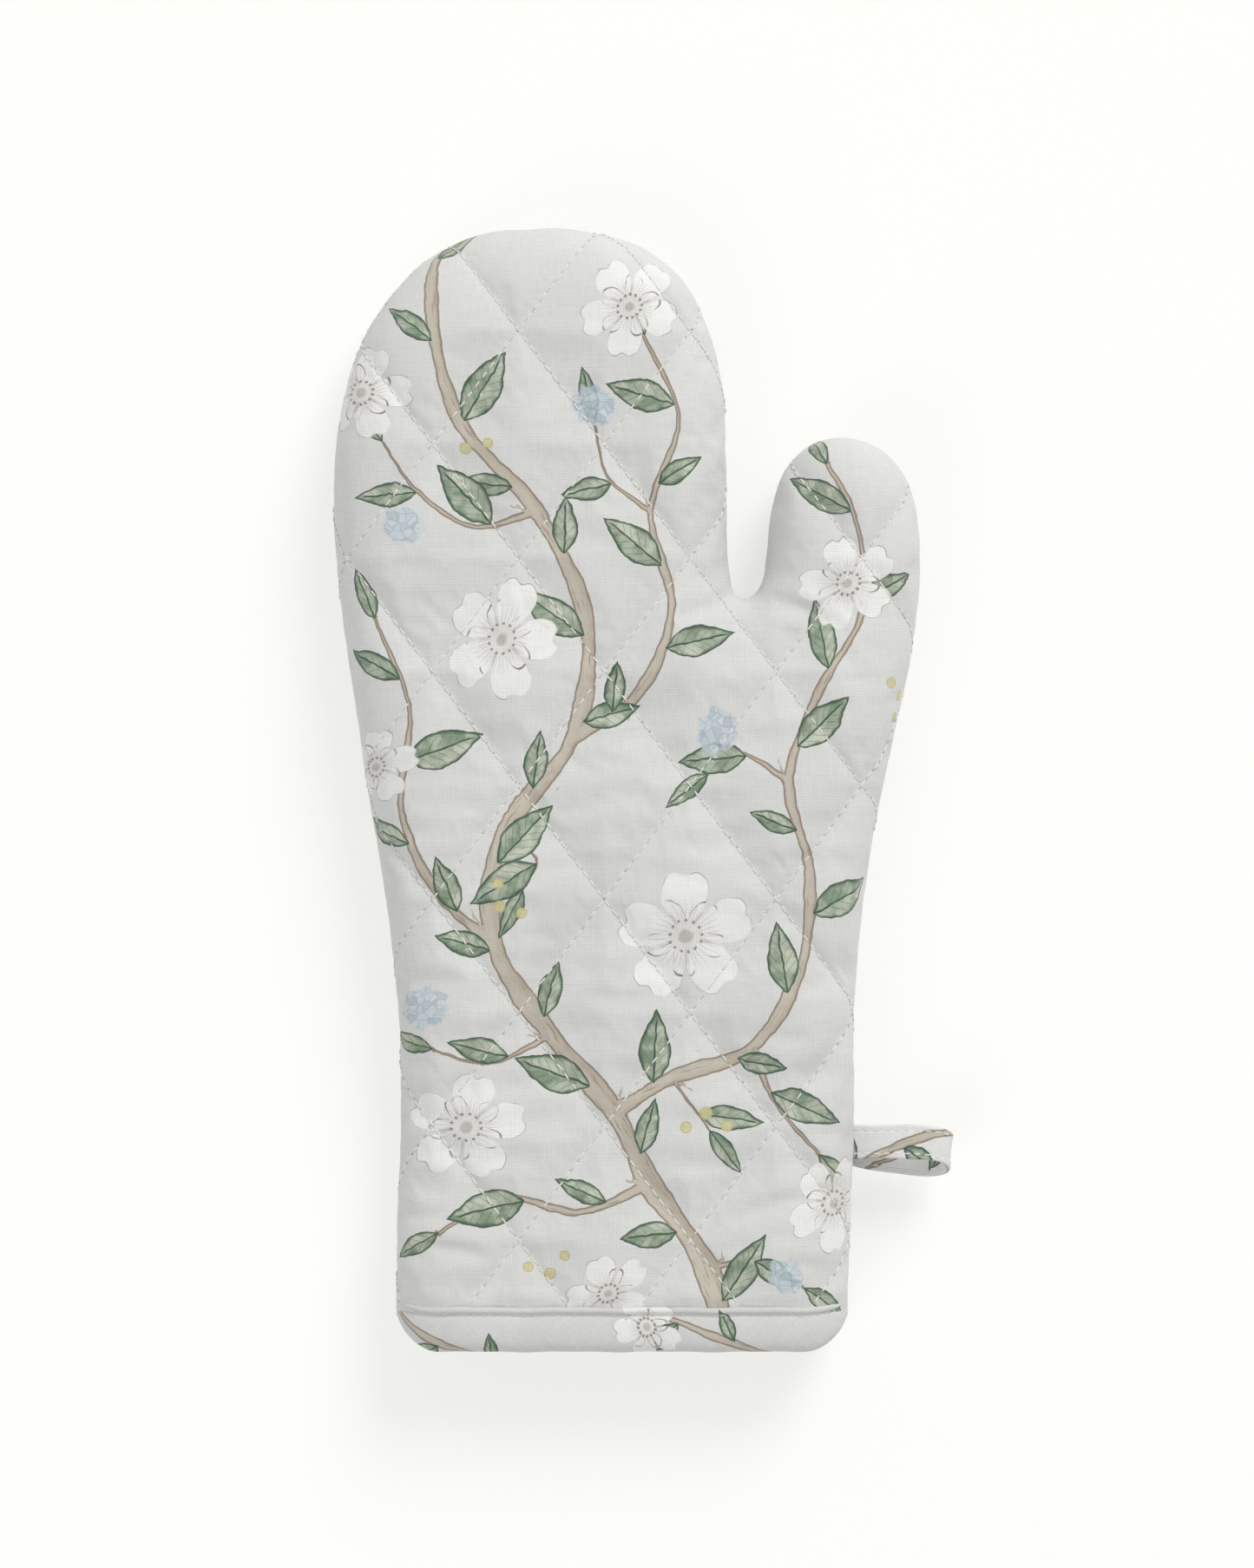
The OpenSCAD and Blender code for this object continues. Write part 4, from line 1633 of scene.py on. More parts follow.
@dataclass(frozen=True)
class PrintedCotton(Cotton):
    """Cotton with the flowering-branch print in soft, slightly faded inks."""

    prints: PrintEffects | None = None

    def paint(self, n: Nodes, place: object) -> object:
        """Lays stems, leaves, blossoms and berries over the ground colour.

        Args:
            n: The material's nodes.
            place: Places on the flat cloth.

        Returns:
            The printed colour's output.
        """
        colour: object = (*self.ground, 1.0)
        order = [("stem", self.prints.stem, STEM_INK)]
        order += [(f"leaf_{k}", self.prints.leaf, LEAF_INK) for k in range(3)]
        order += [("head_0", self.prints.head, HEAD_INK)]
        order += [(f"blossom_{k}", self.prints.blossom, BLOSSOM_INK) for k in range(2)]
        order += [(f"berry_{k}", self.prints.berry, BERRY_INK) for k in range(2)]
        for name, group, ink in order:
            stored = n.add("ShaderNodeAttribute", attribute_name=name)
            drawn = n.group(group, Place=stored.outputs["Vector"], Map=place)
            wash = n.mix(drawn.outputs["Wash"], (*ink.pale, 1.0), (*ink.deep, 1.0))
            full = n.mix(drawn.outputs["Ink"], wash, (*ink.line, 1.0))
            cover = n.times(drawn.outputs["Cover"], ink.strength)
            colour = n.mix(cover, colour, full)
        return colour


# --- linings ---


@dataclass
class Lining(QuiltedPanel):
    """The plain cotton inside a panel, drawn outward by the same quilting rows."""

    label: str = "lining_cloth"
    inward: bool = True
    pressure: float = 0.0
    cells: int = 7
    inset: float = 5.6
    drop: float = 5.2
    valley: float = -0.4
    puff: float = -1.1

    def ring_heights(self) -> list[float]:
        """Heights over the seam's level at which the rounded edge has its rings."""
        return [1.4, 2.6, 4.0, 5.6] if self.side is Side.FRONT else [1.4, 2.4, 3.6, 4.8]


# --- thread ---


@dataclass(frozen=True)
class Stitch:
    """One visible stitch: its thread bows out of the cloth between two needle holes."""

    pitch: float = 3.4
    length: float = 2.5
    radius: float = 0.23
    lift: float = 0.12
    dive: float = 0.5

    STATIONS = 7
    SIDES = 6

    def sew(self, name: str, rows: list[tuple[Array, Array]]) -> Piece:
        """Makes the stitches along rows.

        Args:
            name: The piece's name.
            rows: For each row, places along it and the cloth's outward directions there.

        Returns:
            The piece with every stitch.
        """
        spots, outs = [], []
        for places, normals in rows:
            run = run_of(places)
            count = int(run[-1] / self.pitch)
            if count < 1:
                continue
            middles = (np.arange(count) + 0.5) * run[-1] / count
            reach = 0.5 * self.length * (1.0 + 0.08 * np.sin(middles * 1.9))
            at = middles[:, None] + reach[:, None] * np.linspace(-1.0, 1.0, self.STATIONS)
            spots.append(along_run(at, run, places))
            outs.append(along_run(at, run, normals))
        spot, out = np.concatenate(spots), unit(np.concatenate(outs))
        share = np.linspace(-1.0, 1.0, self.STATIONS)
        bow = self.lift - self.dive * share**6
        sway = 0.07 * np.sin(np.arange(len(spot)) * 2.7)
        along = unit(np.gradient(spot, axis=1))
        across = unit(np.cross(along, out))
        up = np.cross(across, along)
        centre = spot + up * bow[None, :, None] + across * (sway[:, None] * share)[..., None]
        thick = self.radius * (1.0 - 0.3 * share**4)
        return tube_piece(name, rings_round(centre, across, up, thick, self.SIDES))


def run_of(places: Array) -> Array:
    """Distance along a polyline at each of its places."""
    steps = np.linalg.norm(np.diff(places, axis=0), axis=1)
    return np.concatenate([[0.0], np.cumsum(steps)])


def along_run(at: Array, run: Array, values: Array) -> Array:
    """Values of a polyline at distances along it.

    Args:
        at: Distances wanted, in any shape.
        run: Distance at each of the polyline's places.
        values: One row for each place.

    Returns:
        The values, with one more axis than at.
    """
    return np.stack([np.interp(at, run, values[:, c]) for c in range(values.shape[1])], axis=-1)


def tube_piece(name: str, places: Array) -> Piece:
    """Many short closed tubes in one piece.

    Args:
        name: The piece's name.
        places: Corner places: tube, ring, side, then X, Y and Z.

    Returns:
        The piece.
    """
    tubes, rings, sides = places.shape[:3]
    r, c = (v.ravel() for v in np.meshgrid(range(rings - 1), range(sides), indexing="ij"))
    d = (c + 1) % sides
    quads = np.stack([r * sides + c, r * sides + d, (r + 1) * sides + d, (r + 1) * sides + c], 1)
    first = np.arange(sides)[::-1]
    last = np.arange(sides) + (rings - 1) * sides
    faces: list = []
    for k in range(tubes):
        shift = k * rings * sides
        faces += (quads + shift).tolist() + [(first + shift).tolist(), (last + shift).tolist()]
    return make_piece(name, places.reshape(-1, 3), faces)


def needle_hole_shade(name: str, rows: list[tuple[Array, Array]], pitch: float) -> Piece:
    """Small dimples where the needle went through, one between every two stitches, dark with
    painted shade.

    Args:
        name: The piece's name.
        rows: For each row, places along it and the cloth's outward directions there.
        pitch: Distance between the holes.

    Returns:
        The piece with every hole.
    """
    places, faces = [], []
    for spots, normals in rows:
        run = run_of(spots)
        count = int(run[-1] / pitch)
        if count < 2:
            continue
        at = np.arange(1, count) * run[-1] / count
        centre, out = along_run(at, run, spots), unit(along_run(at, run, normals))
        along = unit(along_run(at + 0.3, run, spots) - along_run(at - 0.3, run, spots))
        across = np.cross(along, out)
        for spot, o, a, c in zip(centre, out, along, across):
            start = len(places)
            for turn in np.linspace(0.0, 2.0 * np.pi, 8, endpoint=False):
                reach = 0.36 * math.cos(turn) * a + 0.3 * math.sin(turn) * c
                places.append(spot + o * 0.07 + reach)
            places.append(spot - o * 0.12)
            faces += [[start + k, start + (k + 1) % 8, start + 8] for k in range(8)]
    return make_piece(name, np.array(places), faces)


@dataclass
class QuiltingRows:
    """The quilting rows of one cloth, straight in its flat cut and laid where it lies."""

    shape: MittShape
    above_seam: float = 0.9
    above_cuff: float = 13.6

    def flat_lines(self) -> list[Array]:
        """Draws straight lines of both directions across the whole flat cut.

        Returns:
            Places along each line, in mm.
        """
        hx, hy = self.shape.quilt_half
        cx, cy = self.shape.quilt_cross
        span = np.arange(-420.0, 420.0, 0.6)
        step = np.array([hx, hy]) / math.hypot(hx, hy)
        found = []
        for way in (1.0, -1.0):
            for k in range(-11, 12):
                line = np.array([cx + 2 * k * hx, cy]) + span[:, None] * step * [1.0, way]
                box = (np.abs(line[:, 0]) < 110.0) & (np.abs(line[:, 1]) < 185.0)
                found.append(line[box])
        return found

    def on_cloth(self, piece: Piece, flat: Array) -> list[tuple[Array, Array]]:
        """Lays the rows on the cloth, down to its seams.

        Args:
            piece: The cloth.
            flat: Each corner's flat place in mm.

        Returns:
            For each row, places on the cloth and outward directions, in mm.
        """
        mesh = piece.data
        mesh.calc_loop_triangles()
        corners = np.empty(len(mesh.loop_triangles) * 3, np.int32)
        mesh.loop_triangles.foreach_get("vertices", corners)
        corners = corners.reshape(-1, 3)
        level = np.column_stack([flat[:, :2], np.zeros(len(flat))])
        tree = BVHTree.FromPolygons(level.tolist(), corners.tolist())
        places, normals = places_of(piece), normals_of(piece)
        rows = []
        for line in self.flat_lines():
            spots, outs = [], []
            for x, y in line:
                hit = tree.ray_cast(Vector((x, y, 1.0)), Vector((0.0, 0.0, -1.0)))
                if hit[2] is None:
                    continue
                k = corners[hit[2]]
                a, b, c = level[k, :2]
                share = np.linalg.solve(np.stack([b - a, c - a], axis=1), np.array([x, y]) - a)
                share = np.array([1.0 - share.sum(), *share])
                spots.append(share @ places[k])
                outs.append(share @ normals[k])
            if len(spots) > 1:
                rows += self.whole_runs(np.array(spots), np.array(outs))
        return rows

    def whole_runs(self, spots: Array, outs: Array) -> list[tuple[Array, Array]]:
        """Cuts a row where it leaves the cloth or meets a seam, and drops short ends.

        Args:
            spots: Places along the row, in mm.
            outs: The way out of the cloth at each.

        Returns:
            Each run's places and ways out.
        """
        keep = np.abs(spots[:, 2] - self.shape.frame.seam) > self.above_seam
        keep &= spots[:, 1] > self.shape.frame.cuff_edge + self.above_cuff
        jump = np.linalg.norm(np.diff(spots, axis=0), axis=1) > 1.8
        cuts = np.nonzero((np.diff(keep.astype(int)) != 0) | jump)[0] + 1
        parts = zip(np.split(spots, cuts), np.split(outs, cuts), np.split(keep, cuts))
        return [(s, o) for s, o, on in parts if on[0] and len(s) > 9]


# --- side seam ---


@dataclass
class SideSeam:
    """The seam round hand and thumb, with its turned-in, overlocked edges."""

    shape: MittShape
    needle: Stitch = Stitch(pitch=2.6, length=1.9, radius=0.22, lift=0.1)
    loop_pitch: float = 2.5

    def line_in(self, depth: float) -> Array:
        """Moves the outline inward, without the turns that folds would make.

        Args:
            depth: How far, in mm.

        Returns:
            Places along the line, in mm.
        """
        line = self.shape.outline + self.shape.normal * depth
        gap, _ = to_polyline(line, self.shape.outline)
        return evenly(line[gap > depth - 0.25], 1.0)

    def crease(self) -> tuple[Array, Array]:
        """Follows the crease between the panels.

        Returns:
            Places along it in mm, and the way out of it at each.
        """
        line = self.line_in(self.shape.pinch + 0.15)
        level = np.full(len(line), self.shape.frame.seam)
        out = -side_of(line)
        return np.column_stack([line, level]), np.column_stack([out, np.zeros(len(line))])

    def build_seam(self) -> Piece:
        """The lockstitches in the crease."""
        return self.needle.sew("side_seam_stitches", [self.crease()])

    def build_edges(self) -> tuple[Piece, Array]:
        """The cut edges of both panels, pressed together inside the mitt.

        Returns:
            The piece and each corner's flat place in mm.
        """
        rings = []
        for depth, height in ((2.2, 0.9), (5.0, 1.7), (7.6, 1.9), (8.5, 1.3), (8.75, 0.0),
                              (8.5, -1.3), (7.6, -1.9), (5.0, -1.7), (2.2, -0.9)):
            line = self.shape.outline + self.shape.normal * depth
            wave = 0.12 * np.sin(np.arange(len(line)) * 1.31 + depth)
            rings.append(np.column_stack([line, self.shape.frame.seam + height + wave]))
        count = len(rings[0])
        places = np.vstack(rings)
        faces = []
        for r in range(len(rings)):
            s = (r + 1) % len(rings)
            faces += [
                [r * count + c, s * count + c, s * count + c + 1, r * count + c + 1]
                for c in range(count - 1)
            ]
        for c in (0, count - 1):
            cap = [r * count + c for r in range(len(rings))]
            faces.append(cap if c else cap[::-1])
        piece = make_piece("seam_edges", places, faces)
        face_outward(piece)
        run = run_of(self.shape.outline)
        flat = np.stack(np.meshgrid(run, 2.4 * np.arange(len(rings))), axis=2)
        return piece, flat.reshape(-1, 2)

    def build_overlock(self) -> Piece:
        """Makes the overlock thread's loops round the cut edges.

        Returns:
            The finished piece.
        """
        line = evenly(self.shape.outline + self.shape.normal * 6.7, self.loop_pitch)
        inward = side_of(line)
        rise = np.array([2.15, 2.3, 1.9, 1.0, 0.0, -1.0, -1.9, -2.3, -2.15])
        reach = np.array([-0.2, 0.8, 1.8, 2.25, 2.35, 2.25, 1.8, 0.8, -0.2])
        slip = np.linspace(-0.6, 0.7, len(rise))
        along = unit(np.gradient(line, axis=0))
        flat = line[:, None] + inward[:, None] * reach[None, :, None]
        flat = flat + along[:, None] * slip[None, :, None]
        level = np.broadcast_to(self.shape.frame.seam + rise, flat.shape[:2])
        centre = np.concatenate([flat, level[..., None]], axis=2)
        way = unit(np.gradient(centre, axis=1))
        side = np.zeros_like(centre)
        side[..., :2] = along[:, None]
        side = unit(side - way * (way * side).sum(2)[..., None])
        thick = np.full(len(rise), 0.27)
        places = rings_round(centre, side, np.cross(way, side), thick, 5)
        return tube_piece("overlock_loops", places)

    def build_chains(self) -> Piece:
        """Makes the overlock's straight rows, one on each face of the cut edges.

        Returns:
            The finished piece.
        """
        line = evenly(self.shape.outline + self.shape.normal * 6.6, 1.0)
        rows = []
        for up in (1.0, -1.0):
            places = np.column_stack([line, np.full(len(line), self.shape.frame.seam + 2.1 * up)])
            out = np.tile([0.0, 0.0, up], (len(line), 1))
            rows.append((places, out))
        return Stitch(pitch=2.5, length=2.2, radius=0.27, lift=0.15).sew("overlock_chains", rows)


# --- cuff ---


@dataclass
class CuffBinding:
    """The folded strip round the mouth, with its topstitching."""

    shape: MittShape
    squeeze: float = 1.25
    step: float = 1.6
    side_rise: float = 9.0
    corner: float = 9.5
    profile: tuple[tuple[float, float], ...] = (
        (6.5, -0.35), (10.0, -0.3), (12.0, -0.2), (12.75, 0.1), (13.0, 0.7), (12.75, 1.3),
        (12.1, 1.6), (11.5, 1.45), (10.95, 0.7), (10.7, 0.3), (10.35, 0.6), (9.6, 1.1),
        (8.0, 1.45), (6.0, 1.55), (4.0, 1.4), (2.4, 1.0), (1.2, 0.3), (0.4, -0.7), (0.05, -1.7),
        (0.0, -2.7), (0.25, -3.8), (0.9, -4.7), (2.0, -5.4), (4.0, -5.8), (7.0, -5.95),
        (9.6, -5.85), (10.6, -5.55), (11.6, -5.85), (12.6, -5.95), (13.0, -5.6), (12.7, -5.1),
        (11.8, -4.75), (9.0, -4.7), (6.5, -4.65),
    )
    around: Array = field(init=False)
    outward: Array = field(init=False)

    def __post_init__(self) -> None:
        """Draws the closed line that the binding follows round the cuff."""
        shape = self.shape
        half = shape.frame.cuff_half - 0.8 - 0.4
        a = np.linspace(0.0, np.pi / 2, 40)
        low = np.array([[0.0, shape.frame.cuff_edge]])
        parts = []
        for side in Side:
            rise = float(shape.rise(low, side)[0])
            roll, power = shape.rounding(side)
            x = half - roll + roll * np.cos(a) ** (2.0 / power)
            z = side.up * rise * np.sin(a) ** (2.0 / power)
            quarter = np.column_stack([x, z])
            other = (quarter * [-1.0, 1.0])[::-1]
            half_way = np.vstack([quarter, other])
            parts.append(half_way if side is Side.FRONT else half_way[::-1])
        loop = np.vstack([parts[0], parts[1][1:], parts[0][:1]])
        loop = evenly(loop, self.step)[:-1]
        for _ in range(3):
            loop = (np.roll(loop, 1, 0) + 2.0 * loop + np.roll(loop, -1, 0)) / 4.0
        along = unit(np.roll(loop, -1, 0) - np.roll(loop, 1, 0))
        self.outward = np.stack([along[:, 1], -along[:, 0]], axis=1)
        self.around = loop - self.outward * self.squeeze

    def place(self, rise: Array, proud: Array) -> Array:
        """Places on the band: column by column round the cuff, row by row along it.

        Args:
            rise: Distance from the cuff's edge for each row.
            proud: Distance outside the panels' face for each row.

        Returns:
            Places in mm: column, row, then X, Y and Z.
        """
        spot = self.around[:, None] + self.outward[:, None] * proud[None, :, None]
        run = np.arange(len(self.around)) * self.step
        ripple = 0.22 * np.sin(run / 4.3) + 0.16 * np.sin(run / 2.1 + 1.0)
        fade = np.clip(proud + 1.0, 0.0, 1.5)
        spot = spot + self.outward[:, None] * (0.5 * ripple[:, None] * fade[None])[..., None]
        side = np.abs(self.around[:, 0])
        turn = np.clip((side - side.max()) / self.corner + 1.0, 0.0, 0.99)
        corner = self.side_rise * (1.0 - np.sqrt(1.0 - turn**2))
        y = self.shape.frame.cuff_edge + rise[None] + corner[:, None] * (1.0 - 0.8 * rise / 13.0)
        y = y + 0.5 * ripple[:, None]
        z = np.maximum(self.shape.frame.seam + spot[..., 1], 0.03)
        return np.stack([spot[..., 0], y, z], axis=2)

    def build(self) -> tuple[Piece, Array]:
        """Makes the band.

        Returns:
            The piece and each corner's flat place in mm.
        """
        table = np.array(self.profile)
        places = self.place(table[:, 0], table[:, 1])
        count, rows = places.shape[:2]
        run = np.arange(count) * self.step
        across = run_of(table)
        faces = []
        for c in range(count):
            d = (c + 1) % count
            for r in range(rows - 1):
                faces.append([c * rows + r, d * rows + r, d * rows + r + 1, c * rows + r + 1])
        piece = make_piece("binding", places.reshape(-1, 3), faces)
        flat = np.stack(np.broadcast_arrays(run[:, None], 19.0 - across[None]), axis=2)
        face_outward(piece)
        return piece, round_off(piece, flat.reshape(-1, 2))

    def row(self, rise: float, proud: float) -> tuple[Array, Array]:
        """Follows the band with a closed stitching row.

        Args:
            rise: Distance from the cuff's edge, in mm.
            proud: Distance outside the panels' face, in mm.

        Returns:
            Places along the row in mm, and the way out of the cloth at each.
        """
        places = self.place(np.array([rise]), np.array([proud]))[:, 0]
        way = 1.0 if proud > -3.0 else -1.0
        out = np.column_stack([self.outward[:, 0], np.zeros(len(places)), self.outward[:, 1]]) * way
        return np.vstack([places, places[:1]]), np.vstack([out, out[:1]])


# --- hanging loop ---


@dataclass
class HangingLoop:
    """A folded strip of the shell cloth, out from the side seam and back into it."""

    shape: MittShape
    half_width: float = 4.9
    thick: float = 0.82
    front_leg: tuple[tuple[float, float, float], ...] = (
        (59.0, 1.5, 0.85), (64.0, 1.5, 0.95), (67.5, 1.5, 1.5), (72.0, 1.6, 2.9),
        (78.0, 1.7, 4.2), (84.0, 1.6, 4.7), (89.0, 1.1, 4.2), (92.4, 0.0, 2.2),
    )
    back_leg: tuple[tuple[float, float, float], ...] = (
        (93.2, -1.4, -0.4), (91.9, -3.0, -3.1), (88.5, -3.9, -4.5), (83.0, -3.8, -4.8),
        (77.0, -3.0, -4.1), (71.5, -1.9, -2.7), (67.5, -1.0, -1.5), (64.0, -0.6, -0.95),
        (59.0, -0.5, -0.85),
    )
    section: tuple[tuple[float, float], ...] = (
        (-1.0, 0.0), (-0.97, 0.62), (-0.9, 0.95), (-0.74, 0.92), (-0.69, 0.78), (-0.62, 0.95),
        (-0.3, 1.08), (0.0, 1.1), (0.3, 1.08), (0.62, 0.95), (0.69, 0.78), (0.74, 0.92),
        (0.9, 0.95), (0.97, 0.62), (1.0, 0.0), (0.97, -0.62), (0.9, -0.95), (0.74, -0.92),
        (0.69, -0.78), (0.62, -0.95), (0.0, -1.0), (-0.62, -0.95), (-0.69, -0.78),
        (-0.74, -0.92), (-0.9, -0.95), (-0.97, -0.62),
    )
    line: Array = field(init=False)
    outer: Array = field(init=False)
    across: Array = field(init=False)

    def __post_init__(self) -> None:
        """Draws the strip's middle line and its directions."""
        _, along_seam, _ = self.shape.frame.hinge
        line = through([*self.front_leg, *self.back_leg], 1.1)
        self.line = line + [0.0, along_seam, self.shape.frame.seam]
        along = unit(np.gradient(self.line, axis=0))
        tilt = 0.10 * np.sin(np.linspace(0.0, np.pi, len(line)))
        across = np.column_stack([tilt, np.ones(len(line)), np.zeros(len(line))])
        self.across = unit(across - along * (along * across).sum(1)[:, None])
        self.outer = np.cross(self.across, along)
        self.outer *= np.sign(self.outer[len(line) // 4, 2])

    def build(self) -> tuple[Piece, Array]:
        """Makes the strip.

        Returns:
            The piece and each corner's flat place in mm.
        """
        section = np.array(self.section) * [self.half_width, self.thick]
        run = run_of(self.line)
        wave = 1.0 + 0.03 * np.sin(run / 3.1)
        places = (
            self.line[:, None]
            + self.across[:, None] * (section[None, :, 0, None] * wave[:, None, None])
            + self.outer[:, None] * section[None, :, 1, None]
        )
        rings, sides = places.shape[:2]
        r, c = (v.ravel() for v in np.meshgrid(range(rings - 1), range(sides), indexing="ij"))
        d = (c + 1) % sides
        faces = np.stack([r * sides + c, r * sides + d, (r + 1) * sides + d,
                          (r + 1) * sides + c], 1).tolist()
        faces += [list(range(sides))[::-1], [k + (rings - 1) * sides for k in range(sides)]]
        piece = make_piece("loop_strip", places.reshape(-1, 3), faces)
        around = np.where(section[:, 1] >= 0.0, section[:, 0], 14.0 - section[:, 0])
        flat = np.stack(np.broadcast_arrays(run[:, None], around[None]), axis=2)
        face_outward(piece)
        return piece, round_off(piece, flat.reshape(-1, 2))

    def build_stitches(self) -> Piece:
        """Makes the stitching along both folded edges, on both faces.

        Returns:
            The finished piece.
        """
        rows = []
        for share in (-0.69, 0.69):
            for face in (1.0, -1.0):
                spot = self.line + self.across * share * self.half_width
                spot = spot + self.outer * face * self.thick * 0.78
                rows.append((spot[6:-6], self.outer[6:-6] * face))
        return Stitch(pitch=2.9, length=2.1, radius=0.2, lift=0.08).sew("loop_stitches", rows)

    def across_hinge(self, piece: Piece) -> None:
        """Bakes a piece's transform into its mesh."""
        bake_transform(piece)


# --- studio ---


@dataclass
class Studio:
    """Camera, pale floor and soft light."""

    shape: MittShape
    distance: float = 1650.0
    view: tuple[float, float] = (358.4, 448.1)
    middle: tuple[float, float] = (1.4, 1.1)
    floor: tuple[float, float, float] = (0.93, 0.93, 0.92)

    def set_camera(self) -> None:
        """Looks straight down from far away."""
        lens = bpy.data.cameras.new("camera")
        lens.sensor_fit = "VERTICAL"
        lens.sensor_height = 24.0
        lens.lens = 24.0 * self.distance / self.view[1]
        lens.clip_end = 20.0
        camera = bpy.data.objects.new("camera", lens)
        level = self.shape.frame.seam
        camera.location = Vector((*self.middle, level + self.distance)) * MM
        bpy.context.scene.collection.objects.link(camera)
        bpy.context.scene.camera = camera

    def lay_floor(self) -> None:
        """A pale floor that keeps the mitt's shadow and otherwise shows white."""
        steps = np.linspace(-3000.0, 3000.0, 13)
        grid = np.array([(x, y, 0.0) for y in steps for x in steps])
        faces = [
            [r * 13 + c, r * 13 + c + 1, (r + 1) * 13 + c + 1, (r + 1) * 13 + c]
            for r in range(12)
            for c in range(12)
        ]
        piece = make_piece("floor", grid, faces)
        material, n, shader = new_material("pale floor")
        place = n.add("ShaderNodeTexCoord").outputs["Object"]
        shade = n.step(n.noise(place, (6.0, 6.0, 6.0), 2.0), 0.2, 0.8)
        colour = n.mix(shade, (*self.floor, 1.0), (*(c * 1.01 for c in self.floor), 1.0))
        n.feed(shader.inputs["Base Color"], colour)
        shader.inputs["Roughness"].default_value = 0.95
        shader.inputs["Specular IOR Level"].default_value = 0.0
        paths = n.add("ShaderNodeLightPath")
        seen = n.most(paths.outputs["Is Camera Ray"], paths.outputs["Is Glossy Ray"])
        seen = n.most(seen, paths.outputs["Is Transmission Ray"])
        glow = n.add("ShaderNodeEmission")
        glow.inputs["Color"].default_value = (1.02, 1.02, 0.985, 1.0)
        blend = n.add("ShaderNodeMixShader")
        n.feed(blend.inputs[0], n.times(seen, 0.64))
        n.feed(blend.inputs[1], shader.outputs[0])
        n.feed(blend.inputs[2], glow.outputs[0])
        out = next(k for k in n.tree.nodes if k.type == "OUTPUT_MATERIAL")
        n.feed(out.inputs["Surface"], blend.outputs[0])
        piece.data.materials.append(material)

    def add_lamp(self, name: str, place: tuple, size: float, power: float, tint: tuple) -> None:
        """Hangs one soft lamp that looks at the mitt.

        Args:
            name: The lamp's name.
            place: Where it hangs, in metres.
            size: Its width in metres.
            power: Its power in watts.
            tint: Its colour.
        """
        data = bpy.data.lights.new(name, "AREA")
        data.shape = "DISK"
        data.size, data.energy, data.color = size, power, tint
        lamp = bpy.data.objects.new(name, data)
        lamp.location = place
        lamp.rotation_euler = (-Vector(place)).to_track_quat("-Z", "Y").to_euler()
        bpy.context.scene.collection.objects.link(lamp)

    def light(self) -> None:
        """Soft light from above the fingertips, and an even fill."""
        scene = bpy.context.scene
        scene.view_settings.view_transform = "Standard"
        world = bpy.data.worlds.new("studio")
        scene.world = world
        world.use_nodes = True
        n = Nodes(world.node_tree)
        back = next(k for k in n.tree.nodes if k.type == "BACKGROUND")
        back.inputs["Color"].default_value = (1.0, 1.0, 1.0, 1.0)
        back.inputs["Strength"].default_value = 0.5
        self.add_lamp("key", (1.95, 3.45, 3.0), 2.5, 164.0, (1.0, 0.997, 0.99))
        self.add_lamp("fill", (-1.2, -1.5, 1.5), 1.6, 14.0, (0.98, 0.99, 1.0))


# --- the whole mitt ---


FRONT_FOLDS = (
    Fold((-63.0, -119.5), (-47.0, -121.5), 0.8, 2.0),
    Fold((-54.0, -129.0), (-37.0, -131.0), 0.7, 2.2),
    Fold((66.0, -115.0), (30.0, -120.5), 0.8, 2.4),
    Fold((56.0, -134.5), (38.0, -136.0), 0.6, 2.2),
    Fold((32.0, 54.5), (14.0, 49.0), 1.0, 2.2),
    Fold((36.0, 53.5), (62.0, 45.5), 1.1, 2.4),
)
BACK_FOLDS = (
    Fold((-62.0, -112.0), (-40.0, -117.0), 0.5, 2.4),
    Fold((64.0, -122.0), (38.0, -118.0), 0.5, 2.2),
    Fold((32.0, 54.5), (18.0, 46.0), 0.6, 2.2),
    Fold((36.0, 53.5), (56.0, 42.0), 0.7, 2.4),
)

GROUND = (0.66, 0.66, 0.643)
BINDING_GROUND = (0.62, 0.62, 0.606)
# The loop is the panels' shell cloth painted lighter: painted light on its up-facing strip.
LOOP_GROUND_PAINTED_LIGHT = (0.73, 0.73, 0.715)
LINING_GROUND = (0.72, 0.71, 0.67)
THREAD = (0.80, 0.80, 0.76)
# Dark colour of the needle holes: painted shade in the dimples.
NEEDLE_HOLE_SHADE = (0.24, 0.23, 0.21)


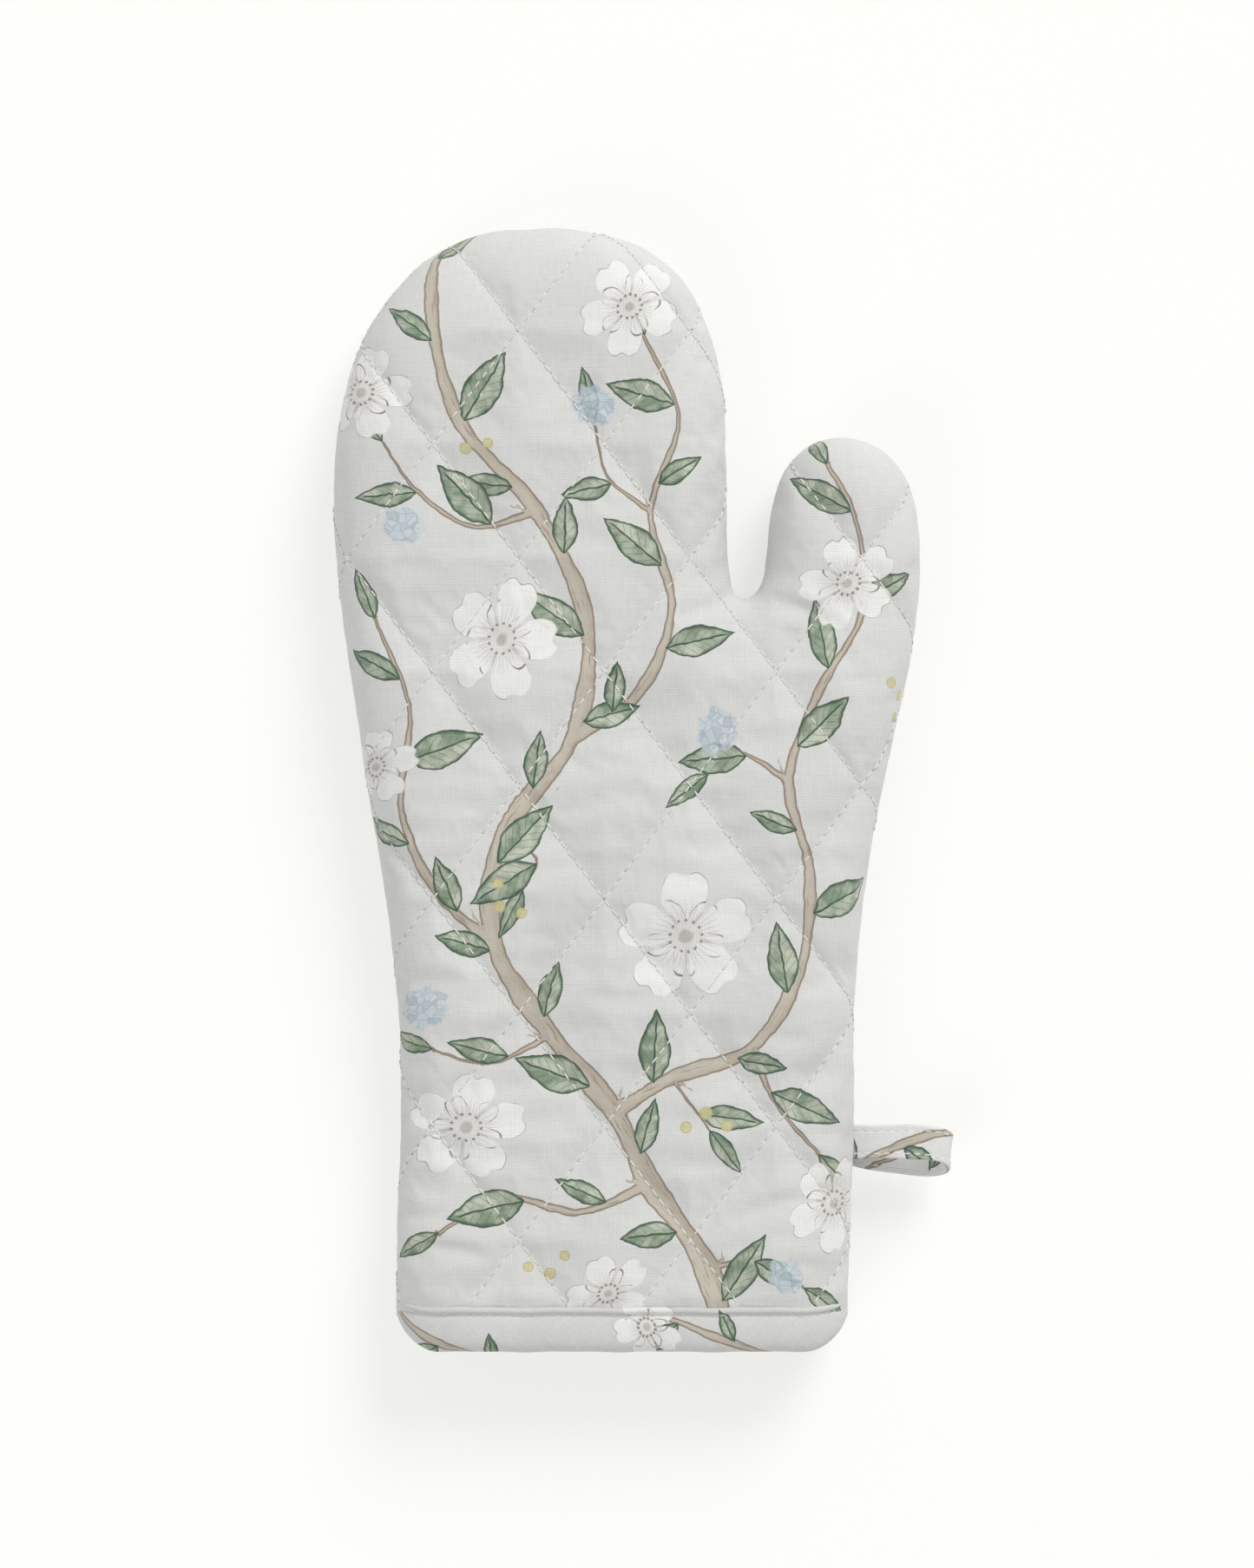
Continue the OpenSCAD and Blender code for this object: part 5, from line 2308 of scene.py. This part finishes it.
@dataclass
class OvenMitt:
    """The whole mitt: panels, linings, seam, binding, loop and every row of thread."""

    shape: MittShape
    effects: Effects = field(default_factory=Effects)
    prints: PrintEffects = field(default_factory=PrintEffects)
    thread: bpy.types.Material = field(init=False)
    holes: bpy.types.Material = field(init=False)

    def __post_init__(self) -> None:
        """Makes the finishes that many pieces share."""
        self.thread = Thread("sewing thread", THREAD).make()
        # The needle holes' dark material is painted shade.
        self.holes = Thread("needle hole shade", NEEDLE_HOLE_SHADE, 0.95).make()

    def sewn(self, piece: Piece, *nodes: str, body: str = "mitt") -> None:
        """Finishes a row of thread and puts it in the place of its solid.

        Args:
            piece: The row's piece.
            nodes: The solids that it stands for.
            body: The body that it rides on.
        """
        dress(piece, self.thread)
        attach(piece, body)
        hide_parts(*nodes)

    def build_panel(self, side: Side) -> None:
        """Makes one panel of printed cotton over batting, with its quilting.

        Args:
            side: Which panel.
        """
        folds = FRONT_FOLDS if side is Side.FRONT else BACK_FOLDS
        pattern = FRONT_PATTERN if side is Side.FRONT else BACK_PATTERN
        panel = QuiltedPanel(self.shape, side, folds=folds)
        piece = panel.build()
        pattern.lay(piece, panel.printed)
        finish = PrintedCotton(f"printed cotton, {side.value}", GROUND, prints=self.prints)
        span = put_map(piece, panel.printed)
        dress(piece, finish.make(self.effects, span))
        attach(piece, "mitt")
        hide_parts(f"{side.value}_shell", f"{side.value}_batting")
        rows = QuiltingRows(self.shape).on_cloth(piece, panel.printed)
        stitches = Stitch().sew(f"{side.value}_quilting_stitches", rows)
        self.sewn(stitches, f"{side.value}_quilting_thread")
        # Dark dimples at the needle holes: painted shade.
        holes = needle_hole_shade(f"{side.value}_needle_hole_shade", rows, Stitch().pitch)
        dress(holes, self.holes)
        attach(holes, "mitt")

    def build_lining(self, side: Side) -> None:
        """Makes one panel's lining, with the bobbin thread of the quilting.

        Args:
            side: Which panel.
        """
        lining = Lining(self.shape, side)
        piece = lining.build()
        span = put_map(piece, lining.printed)
        finish = Cotton(f"lining cotton, {side.value}", LINING_GROUND, pitch=0.4)
        dress(piece, finish.make(self.effects, span))
        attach(piece, "mitt")
        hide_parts(f"{side.value}_lining")
        found = QuiltingRows(self.shape, above_seam=1.9, above_cuff=14.5)
        rows = found.on_cloth(piece, lining.printed)
        stitches = Stitch(radius=0.2).sew(f"{side.value}_bobbin_stitches", rows)
        self.sewn(stitches, f"{side.value}_bobbin_thread")

    def build_seam(self) -> None:
        """The side seam with its overlocked edges inside."""
        seam = SideSeam(self.shape)
        self.sewn(seam.build_seam(), "side_seam_thread")
        edges, flat = seam.build_edges()
        span = put_map(edges, flat)
        finish = Cotton("cut edges", LINING_GROUND, pitch=0.5, slub=0.2)
        dress(edges, finish.make(self.effects, span))
        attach(edges, "mitt")
        self.sewn(seam.build_overlock(), "seam_overlock_thread")
        self.sewn(seam.build_chains(), "seam_overlock_thread")

    def build_cuff(self) -> None:
        """The cuff's binding with its stitching outside and inside."""
        cuff = CuffBinding(self.shape)
        piece, flat = cuff.build()
        STRIP_PATTERN.lay(piece, flat)
        span = put_map(piece, flat, (len(cuff.around) * cuff.step, 0.0))
        finish = PrintedCotton("printed bias binding", BINDING_GROUND, turn=0.785,
                               prints=self.prints)
        dress(piece, finish.make(self.effects, span))
        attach(piece, "mitt")
        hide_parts("cuff_binding")
        needle = Stitch(pitch=2.8, length=2.0, radius=0.17)
        outside = needle.sew("binding_stitches", [cuff.row(10.7, 0.55)])
        self.sewn(outside, "binding_topstitch")
        inside_row = needle.sew("binding_inner_stitches", [cuff.row(10.6, -5.75)])
        self.sewn(inside_row, "binding_bobbin_thread")

    def build_loop(self) -> None:
        """The hanging loop and the stitching along its edges."""
        loop = HangingLoop(self.shape)
        piece, flat = loop.build()
        STRIP_PATTERN.lay(piece, flat + [104.0, 1.0])
        span = put_map(piece, flat, (0.0, 28.0))
        # The loop's lighter ground is painted light on the same shell cloth.
        finish = PrintedCotton("printed loop strip", LOOP_GROUND_PAINTED_LIGHT, prints=self.prints)
        dress(piece, finish.make(self.effects, span))
        loop.across_hinge(piece)
        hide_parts("hanging_loop", "loop_seam_tails")
        stitches = loop.build_stitches()
        dress(stitches, self.thread)
        loop.across_hinge(stitches)
        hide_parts("loop_edge_stitch")


def main() -> None:
    """Sets the studio up, then builds the mitt's sub-assemblies in order."""
    logging.basicConfig(level=logging.INFO, format="%(message)s")
    shape = MittShape(Frame.read())
    studio = Studio(shape)
    studio.set_camera()
    studio.lay_floor()
    studio.light()
    mitt = OvenMitt(shape)
    for side in Side:
        mitt.build_panel(side)
    for side in Side:
        mitt.build_lining(side)
    mitt.build_seam()
    mitt.build_cuff()
    mitt.build_loop()


if __name__ == "__main__":
    main()
